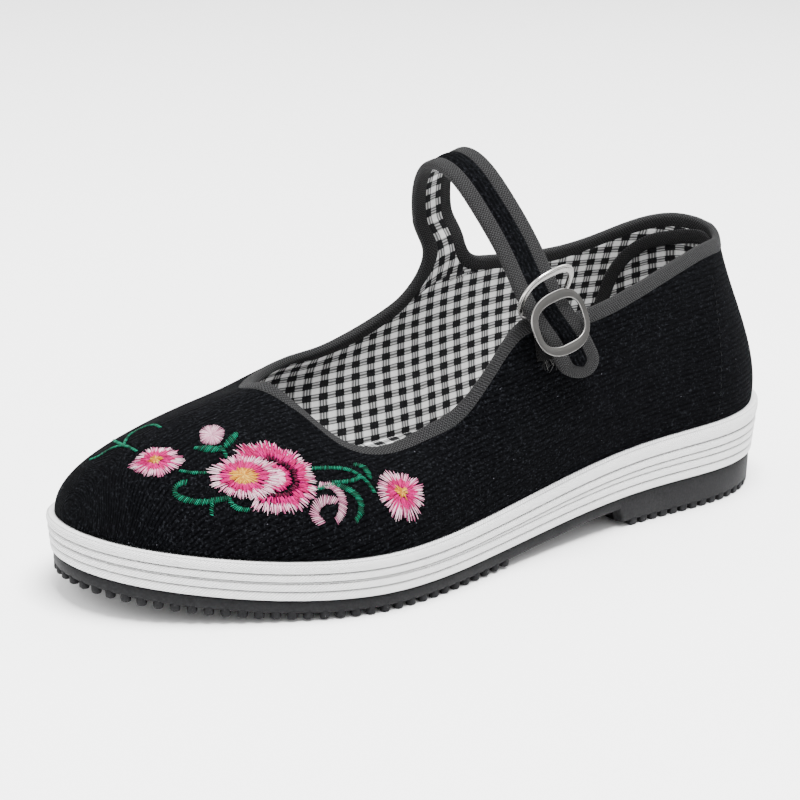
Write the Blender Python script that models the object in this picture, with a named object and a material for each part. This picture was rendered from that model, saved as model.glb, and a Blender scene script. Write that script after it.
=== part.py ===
"""Left cloth shoe with a bound collar, an instep strap and a two-ring buckle.

Metres. +X points to the toe, +Y to the outer (lateral) side of the foot, +Z up.
The origin is on the floor, under the middle of the heel tread.
"""

import math

import bmesh
import bpy
import numpy as np

MM = 0.001

# Sole
SOLE_LENGTH = 250 * MM
BALL_WIDTH = 91 * MM
ORIGIN_FROM_HEEL = 34 * MM
HEEL_SEAT = 10.6 * MM  # floor to the underside of the midsole at the heel
BALL_SEAT = 5.3 * MM  # the same under the ball of the foot
TOE_SPRING = 6.8 * MM
MIDSOLE_HEEL = 17.6 * MM
MIDSOLE_FORE = 10.6 * MM
SIDE_DRAFT = 1.3 * MM  # how far the midsole's foot stands in from its top edge
GROOVE_DEPTH = 0.6 * MM
MIDSOLE_ROUND = 0.25 * MM  # rounding of the midsole's top edge
TREAD_PLATE = 3.7 * MM
TREAD_INSET = 0.3 * MM
TREAD_ROUND = 0.8 * MM
STUD_HEIGHT = BALL_SEAT - TREAD_PLATE
HEEL_BREAST = 0.305  # where the heel block ends, as a share of the sole's length
HEEL_LIFT = 1.6 * MM  # rounding up of the heel's back edge
STUD_RADIUS = 1.5 * MM
STUD_INSET = 1.6 * MM
STUD_PITCH_FORE = 5.7 * MM
STUD_PITCH_HEEL = 4.6 * MM
STUDS_HEEL_END = 0.286  # shares of the sole's length: the heel's row of studs ends here
STUDS_FORE_START = 0.515  # and the forefoot's row starts here
LUG_EMBED = 1.0 * MM  # how far a stud reaches into the plate
HEEL_BARS = 5
BALL_BARS = 7
BALL_CENTRE = 0.67 * SOLE_LENGTH - ORIGIN_FROM_HEEL
BAR_WIDTH = 4.0 * MM
BAR_PITCH = 8.0 * MM
BAR_MARGIN = 9.0 * MM  # bare strip between a bar's end and the sole's side
INSOLE_THICKNESS = 2.4 * MM
INSOLE_MARGIN = 1.3 * MM  # between the insole and the foot of the wall

# Upper
FEATHER_INSET = 2.0 * MM
WALL = 2.0 * MM
QUARTER_HEIGHT = 54 * MM  # midsole to collar at the heel's back
GAP = 0.3 * MM
CURVED_GAP = 0.5 * MM  # between curved edges whose facets don't match

# Binding, strap and buckle
BINDING_WIDTH = 5.0 * MM
BINDING_THICKNESS = 2.6 * MM
STRAP_WIDTH = 14.4 * MM
STRAP_THICKNESS = 2.0 * MM
BINDING_FOLD = 0.9 * MM  # rounding of the tape's outer edge
STRAP_HEIGHT = 112.3 * MM  # floor to the crest of the strap
STRAP_LEAN = math.radians(15)  # forward lean of the strap's loop
ROOT_FROM_HEEL = 103 * MM  # heel's back to the middle of the strap's root
ROOT_X = ROOT_FROM_HEEL - ORIGIN_FROM_HEEL
ROOT_DEPTH = BINDING_WIDTH + GAP  # the strap starts this far down from the collar
FRONT_FILLET = 11.0 * MM  # where the strap's front edge runs into the collar
BACK_FILLET = 7.0 * MM
STRAP_SKEW = 10.5 * MM  # how far the outer end stands before the root
BUCKLE_X = ROOT_X + STRAP_SKEW
ROOT_BLEND = 18 * MM  # stretch over which the strap leaves the plane of the wall
STRAP_CLEAR = 6.0 * MM  # strap's middle plane to the outer wall, where the buckle sits
STRAP_TAIL = 19.3 * MM  # collar to the strap's tip
TAIL_DRIFT = 0.72  # how far the tail runs back for each part that it drops
RING_WIDTH = 19.8 * MM
RING_LENGTH = 18.4 * MM
RING_BAR = 2.9 * MM  # the ring's band along the foot's length
RING_END = 2.0 * MM  # the same at its two ends
TIE_BAR = 1.6 * MM  # the inner ring's hidden bar
RING_THICKNESS = 0.9 * MM
RING_TILT = math.radians(59)  # inner ring to the strap
RING_DROP = 0.6 * MM  # collar edge to the middle of the outer ring
TIE_RISE = 5.2 * MM  # how far the hidden bar lies above the outer ring's middle
RING_ARCH = 0.8 * MM
KEEPER_WIDTH = 7.6 * MM
KEEPER_THICKNESS = 0.6 * MM
KEEPER_LENGTH = 13.0 * MM

# Sole outline: along is a share of the sole's length, the sides are shares of the ball width
SOLE_ROWS = (
    # along, lateral, medial
    (0.000, 0.000, 0.000),
    (0.030, 0.182, 0.184),
    (0.080, 0.280, 0.288),
    (0.150, 0.330, 0.342),
    (0.250, 0.344, 0.341),
    (0.350, 0.366, 0.321),
    (0.450, 0.408, 0.319),
    (0.550, 0.466, 0.352),
    (0.640, 0.518, 0.416),
    (0.720, 0.530, 0.471),
    (0.800, 0.470, 0.481),
    (0.880, 0.360, 0.445),
    (0.940, 0.254, 0.353),
    (0.980, 0.136, 0.237),
    (1.000, -0.050, 0.050),
)

# Side view of the sole: seat and midsole run from their forefoot size (0) to their heel size (1)
PROFILE_ROWS = (
    # along, seat, spring, midsole
    (0.00, 1.00, 0.00, 1.00),
    (0.12, 1.02, 0.00, 0.83),
    (0.30, 0.87, 0.00, 0.66),
    (0.45, 0.35, 0.00, 0.45),
    (0.60, 0.00, 0.00, 0.24),
    (0.72, 0.00, 0.01, 0.13),
    (0.85, 0.00, 0.21, 0.08),
    (1.00, 0.00, 1.00, 0.03),
)

# Layer lines on the midsole's side, as shares of its height from the floor side up
LAYER_ROWS = (
    # at the heel, at the forefoot
    (0.00, 0.00),
    (0.17, 0.25),
    (0.34, 0.48),
    (0.51, 0.50),
    (0.68, 0.72),
    (1.00, 1.00),
)

# Collar line. foot is where a wall line leaves the sole, as a share of its length; the
# collar point is (along, side, rise) in shares of length, ball width and quarter height.
# The four handles shape the wall line, as shares of its straight length.
LATERAL_ROWS = (
    # foot, along, side, rise, low up, low out, high out, high down
    (0.00, 0.078, 0.000, 1.045, 0.30, 0.02, 0.07, 0.33),
    (0.03, 0.083, 0.057, 1.030, 0.30, 0.03, 0.08, 0.33),
    (0.08, 0.102, 0.126, 1.010, 0.30, 0.04, 0.08, 0.33),
    (0.15, 0.148, 0.196, 1.022, 0.32, 0.05, 0.09, 0.32),
    (0.25, 0.236, 0.271, 0.980, 0.32, 0.05, 0.09, 0.32),
    (0.35, 0.334, 0.320, 0.912, 0.33, 0.06, 0.08, 0.30),
    (0.42, 0.415, 0.333, 0.910, 0.33, 0.06, 0.08, 0.30),
    (0.48, 0.480, 0.333, 0.948, 0.33, 0.05, 0.09, 0.30),
    (0.53, 0.523, 0.338, 0.798, 0.34, 0.04, 0.12, 0.27),
    (0.58, 0.564, 0.328, 0.603, 0.35, 0.03, 0.17, 0.24),
    (0.64, 0.605, 0.311, 0.511, 0.36, 0.02, 0.24, 0.19),
    (0.72, 0.655, 0.284, 0.436, 0.37, 0.02, 0.33, 0.12),
    (0.80, 0.698, 0.241, 0.458, 0.36, 0.01, 0.35, 0.06),
    (0.88, 0.729, 0.172, 0.587, 0.35, 0.00, 0.29, 0.05),
    (0.94, 0.747, 0.096, 0.692, 0.34, 0.00, 0.22, 0.06),
)
TOE_ROW = (1.00, 0.753, -0.005, 0.717, 0.31, 0.00, 0.18, 0.07)
MEDIAL_ROWS = (
    # foot, along, side, rise, low up, low out, high out, high down
    (0.94, 0.746, 0.085, 0.672, 0.29, 0.00, 0.14, 0.06),
    (0.88, 0.727, 0.160, 0.639, 0.34, 0.00, 0.15, 0.05),
    (0.80, 0.696, 0.232, 0.641, 0.35, 0.01, 0.24, 0.07),
    (0.72, 0.648, 0.282, 0.667, 0.34, 0.02, 0.32, 0.12),
    (0.64, 0.600, 0.307, 0.676, 0.34, 0.03, 0.24, 0.18),
    (0.58, 0.560, 0.320, 0.705, 0.34, 0.04, 0.18, 0.22),
    (0.53, 0.518, 0.329, 0.751, 0.33, 0.05, 0.13, 0.26),
    (0.48, 0.477, 0.328, 0.824, 0.33, 0.05, 0.10, 0.29),
    (0.42, 0.415, 0.324, 0.945, 0.33, 0.06, 0.08, 0.30),
    (0.35, 0.342, 0.315, 0.935, 0.33, 0.06, 0.08, 0.30),
    (0.25, 0.238, 0.275, 0.912, 0.32, 0.05, 0.09, 0.32),
    (0.15, 0.147, 0.203, 1.020, 0.32, 0.05, 0.09, 0.32),
    (0.08, 0.102, 0.130, 1.068, 0.30, 0.04, 0.08, 0.33),
    (0.03, 0.083, 0.058, 1.062, 0.30, 0.03, 0.08, 0.33),
)

# Resolution of the solids
SOLE_STATIONS = 84
WALL_STATIONS = 108
WALL_ROWS = 7
BINDING_STEP = 4.4 * MM
RING_STATIONS = 28
ARC_POINTS = 7  # in the curve from the collar to each edge of the strap
RUN_POINTS = 24  # along each edge
ROOT_TURNS = (0.9, 2.1)  # angles round the shoe between which the strap and buckle are set
PROBES = 160  # points that are tried between them
PROBE_ROWS = 60

MATERIALS = {
    # base colour, roughness, metallic
    "corduroy": ((0.010, 0.010, 0.012), 0.95, 0.0),
    "grey_tape": ((0.060, 0.060, 0.063), 0.85, 0.0),
    "white_sole": ((0.780, 0.780, 0.775), 0.70, 0.0),
    "dark_rubber": ((0.045, 0.045, 0.048), 0.65, 0.0),
    "gingham": ((0.420, 0.420, 0.420), 0.90, 0.0),
    "dull_steel": ((0.330, 0.315, 0.300), 0.38, 0.9),
}


def clear_scene():
    for item in list(bpy.data.objects):
        bpy.data.objects.remove(item)


def material(name):
    made = bpy.data.materials.get(name)
    if made is None:
        colour, roughness, metallic = MATERIALS[name]
        made = bpy.data.materials.new(name)
        made.use_nodes = True
        shader = made.node_tree.nodes["Principled BSDF"]
        shader.inputs["Base Color"].default_value = (*colour, 1.0)
        shader.inputs["Roughness"].default_value = roughness
        shader.inputs["Metallic"].default_value = metallic
    return made


def spline(knots, values, period=None):
    """Cubic curve through the rows of values at the knots: closed if period is given,
    otherwise free at both ends. Returns a function of one array."""
    x = np.asarray(knots, float)
    y = np.asarray(values, float)
    if y.ndim == 1:
        y = y[:, None]
    if period is not None:
        x = np.append(x, x[0] + period)
        y = np.vstack([y, y[:1]])
    step = np.diff(x)
    slope = np.diff(y, axis=0) / step[:, None]
    count = len(x)
    left = np.zeros((count, count))
    right = np.zeros_like(y)
    for i in range(1, count - 1):
        left[i, i - 1 : i + 2] = step[i - 1], 2 * (step[i - 1] + step[i]), step[i]
        right[i] = 6 * (slope[i] - slope[i - 1])
    if period is None:
        left[0, 0] = left[-1, -1] = 1
    else:
        left[0, :2] = 2 * (step[0] + step[-1]), step[0]
        left[0, -2] = step[-1]
        right[0] = 6 * (slope[0] - slope[-1])
        left[-1, 0], left[-1, -1] = 1, -1
    bend = np.linalg.solve(left, right)

    def at(place):
        place = np.atleast_1d(np.asarray(place, float))
        if period is not None:
            place = x[0] + np.mod(place - x[0], period)
        i = np.clip(np.searchsorted(x, place, side="right") - 1, 0, count - 2)
        before, after, h = x[i + 1] - place, place - x[i], step[i]
        before, after, h = before[:, None], after[:, None], h[:, None]
        made = (bend[i] * before**3 + bend[i + 1] * after**3) / (6 * h)
        made += (y[i] / h - bend[i] * h / 6) * before
        made += (y[i + 1] / h - bend[i + 1] * h / 6) * after
        return made[:, 0] if made.shape[1] == 1 else made

    return at


def unit(vectors):
    return vectors / np.maximum(np.linalg.norm(vectors, axis=-1, keepdims=True), 1e-12)


def turn_of(along):
    """Angle round the sole of a station on the lateral side: 0 at the heel, pi at the toe."""
    return np.arccos(1 - 2 * np.asarray(along, float))


def along_of(turn):
    return (1 - np.cos(turn)) / 2


def turns(count, extra=()):
    """Angles round the sole, the same on both sides, a little closer in the middle."""
    share = np.linspace(0, 1, count // 2 + 1)
    half = math.pi * (share + 0.35 * np.sin(2 * math.pi * share) / (2 * math.pi))
    half = np.unique(np.append(half, [turn_of(e) for e in extra]))
    return np.concatenate([half, (2 * math.pi - half[1:-1])[::-1]])


def make_outline():
    along, lateral, medial = np.array(SOLE_ROWS).T
    lateral_turns = turn_of(along)
    knots = np.concatenate([lateral_turns, (2 * math.pi - lateral_turns[1:-1])[::-1]])
    sides = np.concatenate([lateral, -medial[1:-1][::-1]])
    return spline(knots, sides * BALL_WIDTH, 2 * math.pi)


OUTLINE_SIDE = make_outline()
PROFILE = spline([r[0] for r in PROFILE_ROWS], [r[1:] for r in PROFILE_ROWS])


def outline(turn, inset=0.0):
    """Plan of the sole at these angles, moved inwards by inset: x and y."""

    def raw(t):
        x = SOLE_LENGTH * along_of(t) - ORIGIN_FROM_HEEL
        return np.stack([x, OUTLINE_SIDE(t)], 1)

    small = 1e-4
    way = unit(raw(turn + small) - raw(turn - small))
    inwards = np.stack([way[:, 1], -way[:, 0]], 1)
    return raw(turn) + inwards * np.reshape(inset, (-1, 1))


def outward(turn):
    away = outline(turn, -MM) - outline(turn)
    return unit(np.column_stack([away, np.zeros(len(away))]))


def seat_height(along):
    """Height of the midsole's underside."""
    row = PROFILE(along)
    return BALL_SEAT + (HEEL_SEAT - BALL_SEAT) * row[:, 0] + TOE_SPRING * row[:, 1]


def midsole_top(along):
    row = PROFILE(along)
    return seat_height(along) + MIDSOLE_FORE + (MIDSOLE_HEEL - MIDSOLE_FORE) * row[:, 2]


def finish(name, points, faces, slot, smooth_angle=35):
    """A named object from points and faces, with its normals outwards."""
    mesh = bpy.data.meshes.new(name)
    mesh.from_pydata([tuple(p) for p in points], [], [tuple(f) for f in faces])
    edit = bmesh.new()
    edit.from_mesh(mesh)
    bmesh.ops.recalc_face_normals(edit, faces=edit.faces)
    if edit.calc_volume(signed=True) < 0:
        bmesh.ops.reverse_faces(edit, faces=edit.faces)
    edit.to_mesh(mesh)
    edit.free()
    mesh.shade_smooth()
    mesh.set_sharp_from_angle(angle=math.radians(smooth_angle))
    made = bpy.data.objects.new(name, mesh)
    made.data.materials.append(material(slot))
    bpy.context.scene.collection.objects.link(made)
    return made


def side_faces(rings, count, closed):
    """Quads between neighbouring rings of count points, the last joined to the first if closed."""
    faces = []
    for r in range(rings if closed else rings - 1):
        low, high = r * count, (r + 1) % rings * count
        for i in range(count):
            j = (i + 1) % count
            faces.append((low + i, low + j, high + j, high + i))
    return faces


def cross_faces(start, count):
    """A cap made of strips that cross from the lateral to the medial side."""
    half = count // 2
    faces = [(start, start + 1, start + count - 1)]
    for i in range(1, half - 1):
        faces.append((start + i, start + i + 1, start + count - i - 1, start + count - i))
    faces.append((start + half - 1, start + half, start + half + 1))
    return faces


def slab(name, rings, slot):
    """A closed solid from rings that go round the sole, bottom ring first."""
    rings = np.asarray(rings)
    count = rings.shape[1]
    faces = side_faces(len(rings), count, False)
    faces += cross_faces(0, count) + cross_faces((len(rings) - 1) * count, count)
    return finish(name, rings.reshape(-1, 3), faces, slot)


def tube(name, rings, slot):
    """A closed solid whose section runs round a closed loop: rings[section point][station]."""
    rings = np.asarray(rings)
    faces = side_faces(len(rings), rings.shape[1], True)
    return finish(name, rings.reshape(-1, 3), faces, slot)


def rod(sections):
    """Points and faces of a solid swept along an open path, closed at both ends by strips
    from one half of the section to the other."""
    sections = np.asarray(sections)
    count = sections.shape[1]
    faces = side_faces(len(sections), count, False)
    for start in (0, (len(sections) - 1) * count):
        for i in range(count // 2 - 1):
            last = start + count - 1
            faces.append((start + i, start + i + 1, last - i - 1, last - i))
    return sections.reshape(-1, 3), faces


# Sole


def make_midsole():
    turn = turns(SOLE_STATIONS)
    along = along_of(turn)
    low, high = seat_height(along) + GAP, midsole_top(along)
    heel_share = np.clip(PROFILE(along)[:, 2], 0, 1)

    def ring(share, inset):
        height = low + (high - low) * share
        return np.column_stack([outline(turn, inset), height])

    lines = [fore + (heel - fore) * heel_share for heel, fore in LAYER_ROWS]
    rings = [ring(lines[0], SIDE_DRAFT)]
    for below, above in zip(lines[:-1], lines[1:]):
        middle = (below + above) / 2
        fullness = np.clip((above - below) / 0.1, 0, 1)
        rings.append(ring(middle, SIDE_DRAFT * (1 - middle) + GROOVE_DEPTH * (1 - fullness)))
        if above is not lines[-1]:
            rings.append(ring(above, SIDE_DRAFT * (1 - above) + GROOVE_DEPTH))
    rings.append(ring(lines[-1], MIDSOLE_ROUND))
    return slab("midsole", rings, "white_sole")


def stud(x, y, top, bottom):
    """A six-sided peg, a little narrower at its foot."""
    angles = np.arange(6) * math.pi / 3
    ring = np.column_stack([np.cos(angles), np.sin(angles)])
    sections = []
    for height, radius in ((top, STUD_RADIUS), (bottom, STUD_RADIUS * 0.86)):
        plan = ring * radius + (x, y)
        sections.append(np.column_stack([plan, np.full(6, height)]))
    return rod(sections)


def bar(x, low_y, high_y, top, bottom):
    """A straight lug that crosses the sole."""
    half = BAR_WIDTH / 2
    plan = np.array([(x - half, low_y), (x + half, low_y), (x + half, high_y), (x - half, high_y)])
    return rod([np.column_stack([plan, np.full(4, height)]) for height in (top, bottom)])


def tread_pieces(plate_bottom):
    """Every stud and bar of the tread as one loose mesh."""
    pieces = []
    turn = np.linspace(0, 2 * math.pi, 4001)[:-1]
    track = outline(turn, STUD_INSET + TREAD_INSET + SIDE_DRAFT)
    walked = np.append(0, np.cumsum(np.hypot(*np.diff(track, axis=0).T)))
    loop = walked[-1]
    along = along_of(turn)

    def row(first, last, pitch):
        count = int(round((last - first) / pitch))
        for distance in np.linspace(first, last, count + 1):
            place = np.interp(np.mod(distance, loop), walked, turn)
            x, y = outline(np.array([place]), STUD_INSET + TREAD_INSET + SIDE_DRAFT)[0]
            top = plate_bottom(along_of(np.array([place])))[0]
            pieces.append(stud(x, y, top + LUG_EMBED, top - STUD_HEIGHT))

    half = len(turn) // 2
    heel_reach = np.interp(STUDS_HEEL_END, along[:half], walked[:half])
    row(-heel_reach, heel_reach, STUD_PITCH_HEEL)
    fore_reach = np.interp(STUDS_FORE_START, along[:half], walked[:half])
    row(fore_reach, loop - fore_reach, STUD_PITCH_FORE)

    def bars(centre, number):
        for k in range(number):
            x = centre + (k - (number - 1) / 2) * BAR_PITCH
            share = np.array([(x + ORIGIN_FROM_HEEL) / SOLE_LENGTH])
            lateral = OUTLINE_SIDE(turn_of(share))[0] - BAR_MARGIN
            medial = OUTLINE_SIDE(2 * math.pi - turn_of(share))[0] + BAR_MARGIN
            pieces.append(bar(x, medial, lateral, BALL_SEAT, 0.0))

    bars(0.0, HEEL_BARS)
    bars(BALL_CENTRE, BALL_BARS)
    points, faces, base = [], [], 0
    for piece_points, piece_faces in pieces:
        points.append(piece_points)
        faces += [tuple(base + i for i in face) for face in piece_faces]
        base += len(piece_points)
    return np.vstack(points), faces


def tread_underside(along):
    """Height of the outsole between its studs."""
    plate = seat_height(along) - TREAD_PLATE
    back = np.clip(1 - along / 0.07, 0, 1)
    heel = STUD_HEIGHT + HEEL_LIFT * back**2
    return np.where(along <= HEEL_BREAST, heel, plate)


def make_outsole():
    breast = (HEEL_BREAST, HEEL_BREAST + 0.006)
    turn = turns(SOLE_STATIONS, breast)
    along = along_of(turn)
    top, bottom = seat_height(along), tread_underside(along + 1e-9)
    at_breast = np.isclose(along, HEEL_BREAST)
    bottom = np.where(at_breast, STUD_HEIGHT, bottom)
    inset = SIDE_DRAFT + TREAD_INSET
    rings = [
        np.column_stack([outline(turn, inset + TREAD_ROUND), bottom]),
        np.column_stack([outline(turn, inset), bottom + TREAD_ROUND]),
        np.column_stack([outline(turn, inset), top]),
    ]
    plate = slab("outsole", rings, "dark_rubber")
    points, faces = tread_pieces(tread_underside)
    lugs = finish("tread_lugs", points, faces, "dark_rubber")
    join = plate.modifiers.new("lugs", "BOOLEAN")
    join.operation = "UNION"
    join.object = lugs
    lugs.hide_render = True
    lugs.display_type = "WIRE"
    return plate


def make_insole():
    turn = turns(SOLE_STATIONS - 12)
    along = along_of(turn)
    inset = FEATHER_INSET + WALL + INSOLE_MARGIN
    low = midsole_top(along) + GAP
    rings = [
        np.column_stack([outline(turn, inset), low]),
        np.column_stack([outline(turn, inset), low + INSOLE_THICKNESS * 0.7]),
        np.column_stack([outline(turn, inset + 1.0 * MM), low + INSOLE_THICKNESS]),
    ]
    return slab("insole", rings, "gingham")


# Upper


def make_wall_splines():
    """Collar point and wall handles as closed curves of the angle round the shoe."""
    lateral = [(turn_of(r[0]), *r[1:]) for r in (*LATERAL_ROWS, TOE_ROW)]
    medial = [(2 * math.pi - turn_of(r[0]), r[1], -r[2], *r[3:]) for r in MEDIAL_ROWS]
    rows = np.array([*lateral, *medial], float)
    return spline(rows[:, 0], rows[:, 1:], 2 * math.pi)


WALL_SHAPE = make_wall_splines()


def wall_line(turn, rows=48):
    """Outer surface of the upper: points[row][station], from the sole up to the collar.
    Each line is a cubic Bezier curve between its foot on the sole and its collar point."""
    shape = WALL_SHAPE(turn)
    along = along_of(turn)
    foot = np.column_stack([outline(turn, FEATHER_INSET), midsole_top(along) + GAP])
    x = shape[:, 0] * SOLE_LENGTH - ORIGIN_FROM_HEEL
    y = shape[:, 1] * BALL_WIDTH
    z = midsole_top(shape[:, 0]) + shape[:, 2] * QUARTER_HEIGHT
    collar = np.column_stack([x, y, z])
    reach = np.linalg.norm(collar - foot, axis=1, keepdims=True)
    out, up = outward(turn), np.array([0.0, 0.0, 1.0])
    low = foot + reach * (shape[:, 3:4] * up + shape[:, 4:5] * out)
    high = collar + reach * (shape[:, 5:6] * out - shape[:, 6:7] * up)
    t = np.linspace(0, 1, rows)[:, None, None]
    return (
        foot * (1 - t) ** 3
        + 3 * low * t * (1 - t) ** 2
        + 3 * high * t**2 * (1 - t)
        + collar * t**3
    )


def from_collar(turn, distances, rows=160):
    """Points at these distances down from the collar, measured along the wall, and the
    outward normals there: arrays [distance][station]."""
    lines = wall_line(turn, rows)
    steps = np.linalg.norm(np.diff(lines[::-1], axis=0), axis=2)
    walked = np.vstack([np.zeros(len(turn)), np.cumsum(steps, axis=0)])
    small = 1e-3
    across = wall_line(turn + small, rows) - wall_line(turn - small, rows)
    upwards = np.gradient(lines, axis=0)
    normals = unit(np.cross(upwards, across))
    points = np.empty((len(distances), len(turn), 3))
    facing = np.empty_like(points)
    for s in range(len(turn)):
        for axis in range(3):
            column, normal = lines[::-1, s, axis], normals[::-1, s, axis]
            points[:, s, axis] = np.interp(distances[:, s], walked[:, s], column)
            facing[:, s, axis] = np.interp(distances[:, s], walked[:, s], normal)
    return points, unit(facing)


def wall_length(turn):
    lines = wall_line(turn, 160)
    return np.linalg.norm(np.diff(lines, axis=0), axis=2).sum(axis=0)


def make_upper():
    turn = turns(WALL_STATIONS)
    length = wall_length(turn)
    trim = BINDING_WIDTH + CURVED_GAP
    share = np.linspace(1, 0, WALL_ROWS)[:, None]
    outer, normals = from_collar(turn, trim + share * (length - trim))
    flat = normals[0].copy()
    flat[:, 2] = 0
    normals[0] = unit(flat)
    inner = outer - normals * WALL
    return tube("upper", np.concatenate([outer, inner[::-1]]), "corduroy")


# Strap


def wall_at(x, depth, side):
    """Points, outward normals and upward directions of the wall's middle surface: side is 1
    on the lateral wall and -1 on the medial one. Depths above the collar run straight on."""
    x, depth = np.broadcast_arrays(np.atleast_1d(x), np.atleast_1d(depth))
    turn = np.linspace(*ROOT_TURNS, PROBES)
    turn = turn if side > 0 else 2 * math.pi - turn
    line, _ = from_collar(turn, np.full((1, len(turn)), BINDING_WIDTH), PROBE_ROWS)
    seat = np.interp(x, line[0, :, 0], turn)
    below = np.maximum(depth, 0)
    points, normals = from_collar(seat, np.array([below, np.zeros(len(x)), np.full(len(x), 3 * MM)]))
    up = unit(points[1] - points[2])
    middle = points[0] - normals[0] * WALL / 2 + up * np.maximum(-depth, 0)[:, None]
    return middle, normals[0], up


def smooth(share):
    share = np.clip(share, 0, 1)
    return share * share * (3 - 2 * share)


def make_strap_path():
    """The strap's middle line, as points by their length from the root."""
    root, _, up = (v[0] for v in wall_at(ROOT_X, ROOT_DEPTH, -1))
    crest = STRAP_HEIGHT - STRAP_THICKNESS / 2
    rise = crest - root[2]
    slope = math.tan(STRAP_LEAN)
    depths = np.array([0.0, 0.35, 0.70, 1.0]) * STRAP_TAIL
    clear = np.array([1.0, 1.0, 0.62, 0.45]) * STRAP_CLEAR + WALL / 2
    seat, normal, _ = wall_at(np.full(4, BUCKLE_X), depths, 1)
    seat = seat + normal * clear[:, None]
    y0, z0 = root[1], root[2]
    span, drop = seat[0, 1] - y0, crest - seat[0, 2]
    lift = 7 * MM
    corners = [
        (y0, z0),
        (y0 + lift * up[1], z0 + lift * up[2]),
        (y0 + 0.030 * span, z0 + 0.45 * rise),
        (y0 + 0.110 * span, z0 + 0.79 * rise),
        (y0 + 0.280 * span, z0 + 0.985 * rise),
        (y0 + 0.460 * span, crest - 0.035 * drop),
        (y0 + 0.650 * span, crest - 0.260 * drop),
        (y0 + 0.830 * span, crest - 0.600 * drop),
        *seat[:, 1:],
    ]
    heights = np.array([z - z0 for _, z in corners])
    drift = slope * heights + STRAP_SKEW * np.array([y - y0 for y, _ in corners]) / span
    tail = heights[-len(seat):]
    drift[-len(seat):] = drift[-len(seat)] - TAIL_DRIFT * (tail[0] - tail)
    corners = np.array([(ROOT_X + x, y, z) for x, (y, z) in zip(drift, corners)])
    rough = np.append(0, np.cumsum(np.linalg.norm(np.diff(corners, axis=0), axis=1)))
    fine = spline(rough, corners)(np.linspace(0, rough[-1], 600))
    walked = np.append(0, np.cumsum(np.linalg.norm(np.diff(fine, axis=0), axis=1)))
    return walked, fine


STRAP_WALKED, STRAP_FINE = make_strap_path()
STRAP_LENGTH = STRAP_WALKED[-1]


def along_strap(distance):
    return np.column_stack([np.interp(distance, STRAP_WALKED, STRAP_FINE[:, a]) for a in range(3)])


def strap_point(across, distance):
    """Points on the strap's middle surface and their outward normals. across runs from the
    strap's middle line towards the toe. Near the root the strap is part of the wall."""
    across, distance = np.broadcast_arrays(np.asarray(across, float), np.asarray(distance, float))
    lean = STRAP_LEAN * smooth(distance / ROOT_BLEND)
    side = np.column_stack([np.cos(lean), np.zeros(len(lean)), -np.sin(lean)])
    step = 0.5 * MM
    way = unit(along_strap(distance + step) - along_strap(distance - step))
    free = along_strap(distance) + across[:, None] * side
    free_normal = unit(np.cross(side, way))
    wall, wall_normal, _ = wall_at(ROOT_X + across, ROOT_DEPTH - distance, -1)
    share = smooth((distance - ROOT_DEPTH) / ROOT_BLEND)[:, None]
    return wall + (free - wall) * share, unit(wall_normal + (free_normal - wall_normal) * share)


def strap_edge(side, inset, arc_points, run_points):
    """Half of the strap's outline, set in by inset, from the collar up to the tip: places
    across the strap and along it. side is 1 for the front edge and -1 for the back one."""
    fillet = FRONT_FILLET if side > 0 else BACK_FILLET
    start = math.asin(min(1, (fillet + BINDING_WIDTH) / (fillet + inset)))
    angle = np.linspace(start, 0, arc_points)
    half = STRAP_WIDTH / 2
    across = half + fillet - (fillet + inset) * np.cos(angle)
    distance = ROOT_DEPTH + fillet - (fillet + inset) * np.sin(angle)
    last = STRAP_LENGTH - half
    run = np.linspace(distance[-1], last, run_points + 1)[1:]
    tip = np.linspace(0, math.pi / 2, 7)[1:]
    across = np.concatenate([across, np.full(run_points, half - inset), (half - inset) * np.cos(tip)])
    distance = np.concatenate([distance, run, last + (half - inset) * np.sin(tip)])
    return side * across, distance


def make_strap():
    """The strap's middle stripe, with its flared root on the upper's edge."""
    inset = BINDING_WIDTH + CURVED_GAP
    front, back = (strap_edge(side, inset, ARC_POINTS, RUN_POINTS) for side in (1, -1))
    faces = []
    for share in np.linspace(0, 1, 6):
        across = front[0] * (1 - share) + back[0] * share
        across[-1] = (0.5 - share) * 0.6 * MM
        distance = front[1] * (1 - share) + back[1] * share
        faces.append(strap_point(across, distance))
    top = [middle + normal * STRAP_THICKNESS / 2 for middle, normal in faces]
    under = [middle - normal * STRAP_THICKNESS / 2 for middle, normal in faces]
    points, faces = rod(np.array(top + under[::-1]).transpose(1, 0, 2))
    return finish("strap", points, faces, "corduroy")


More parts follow.
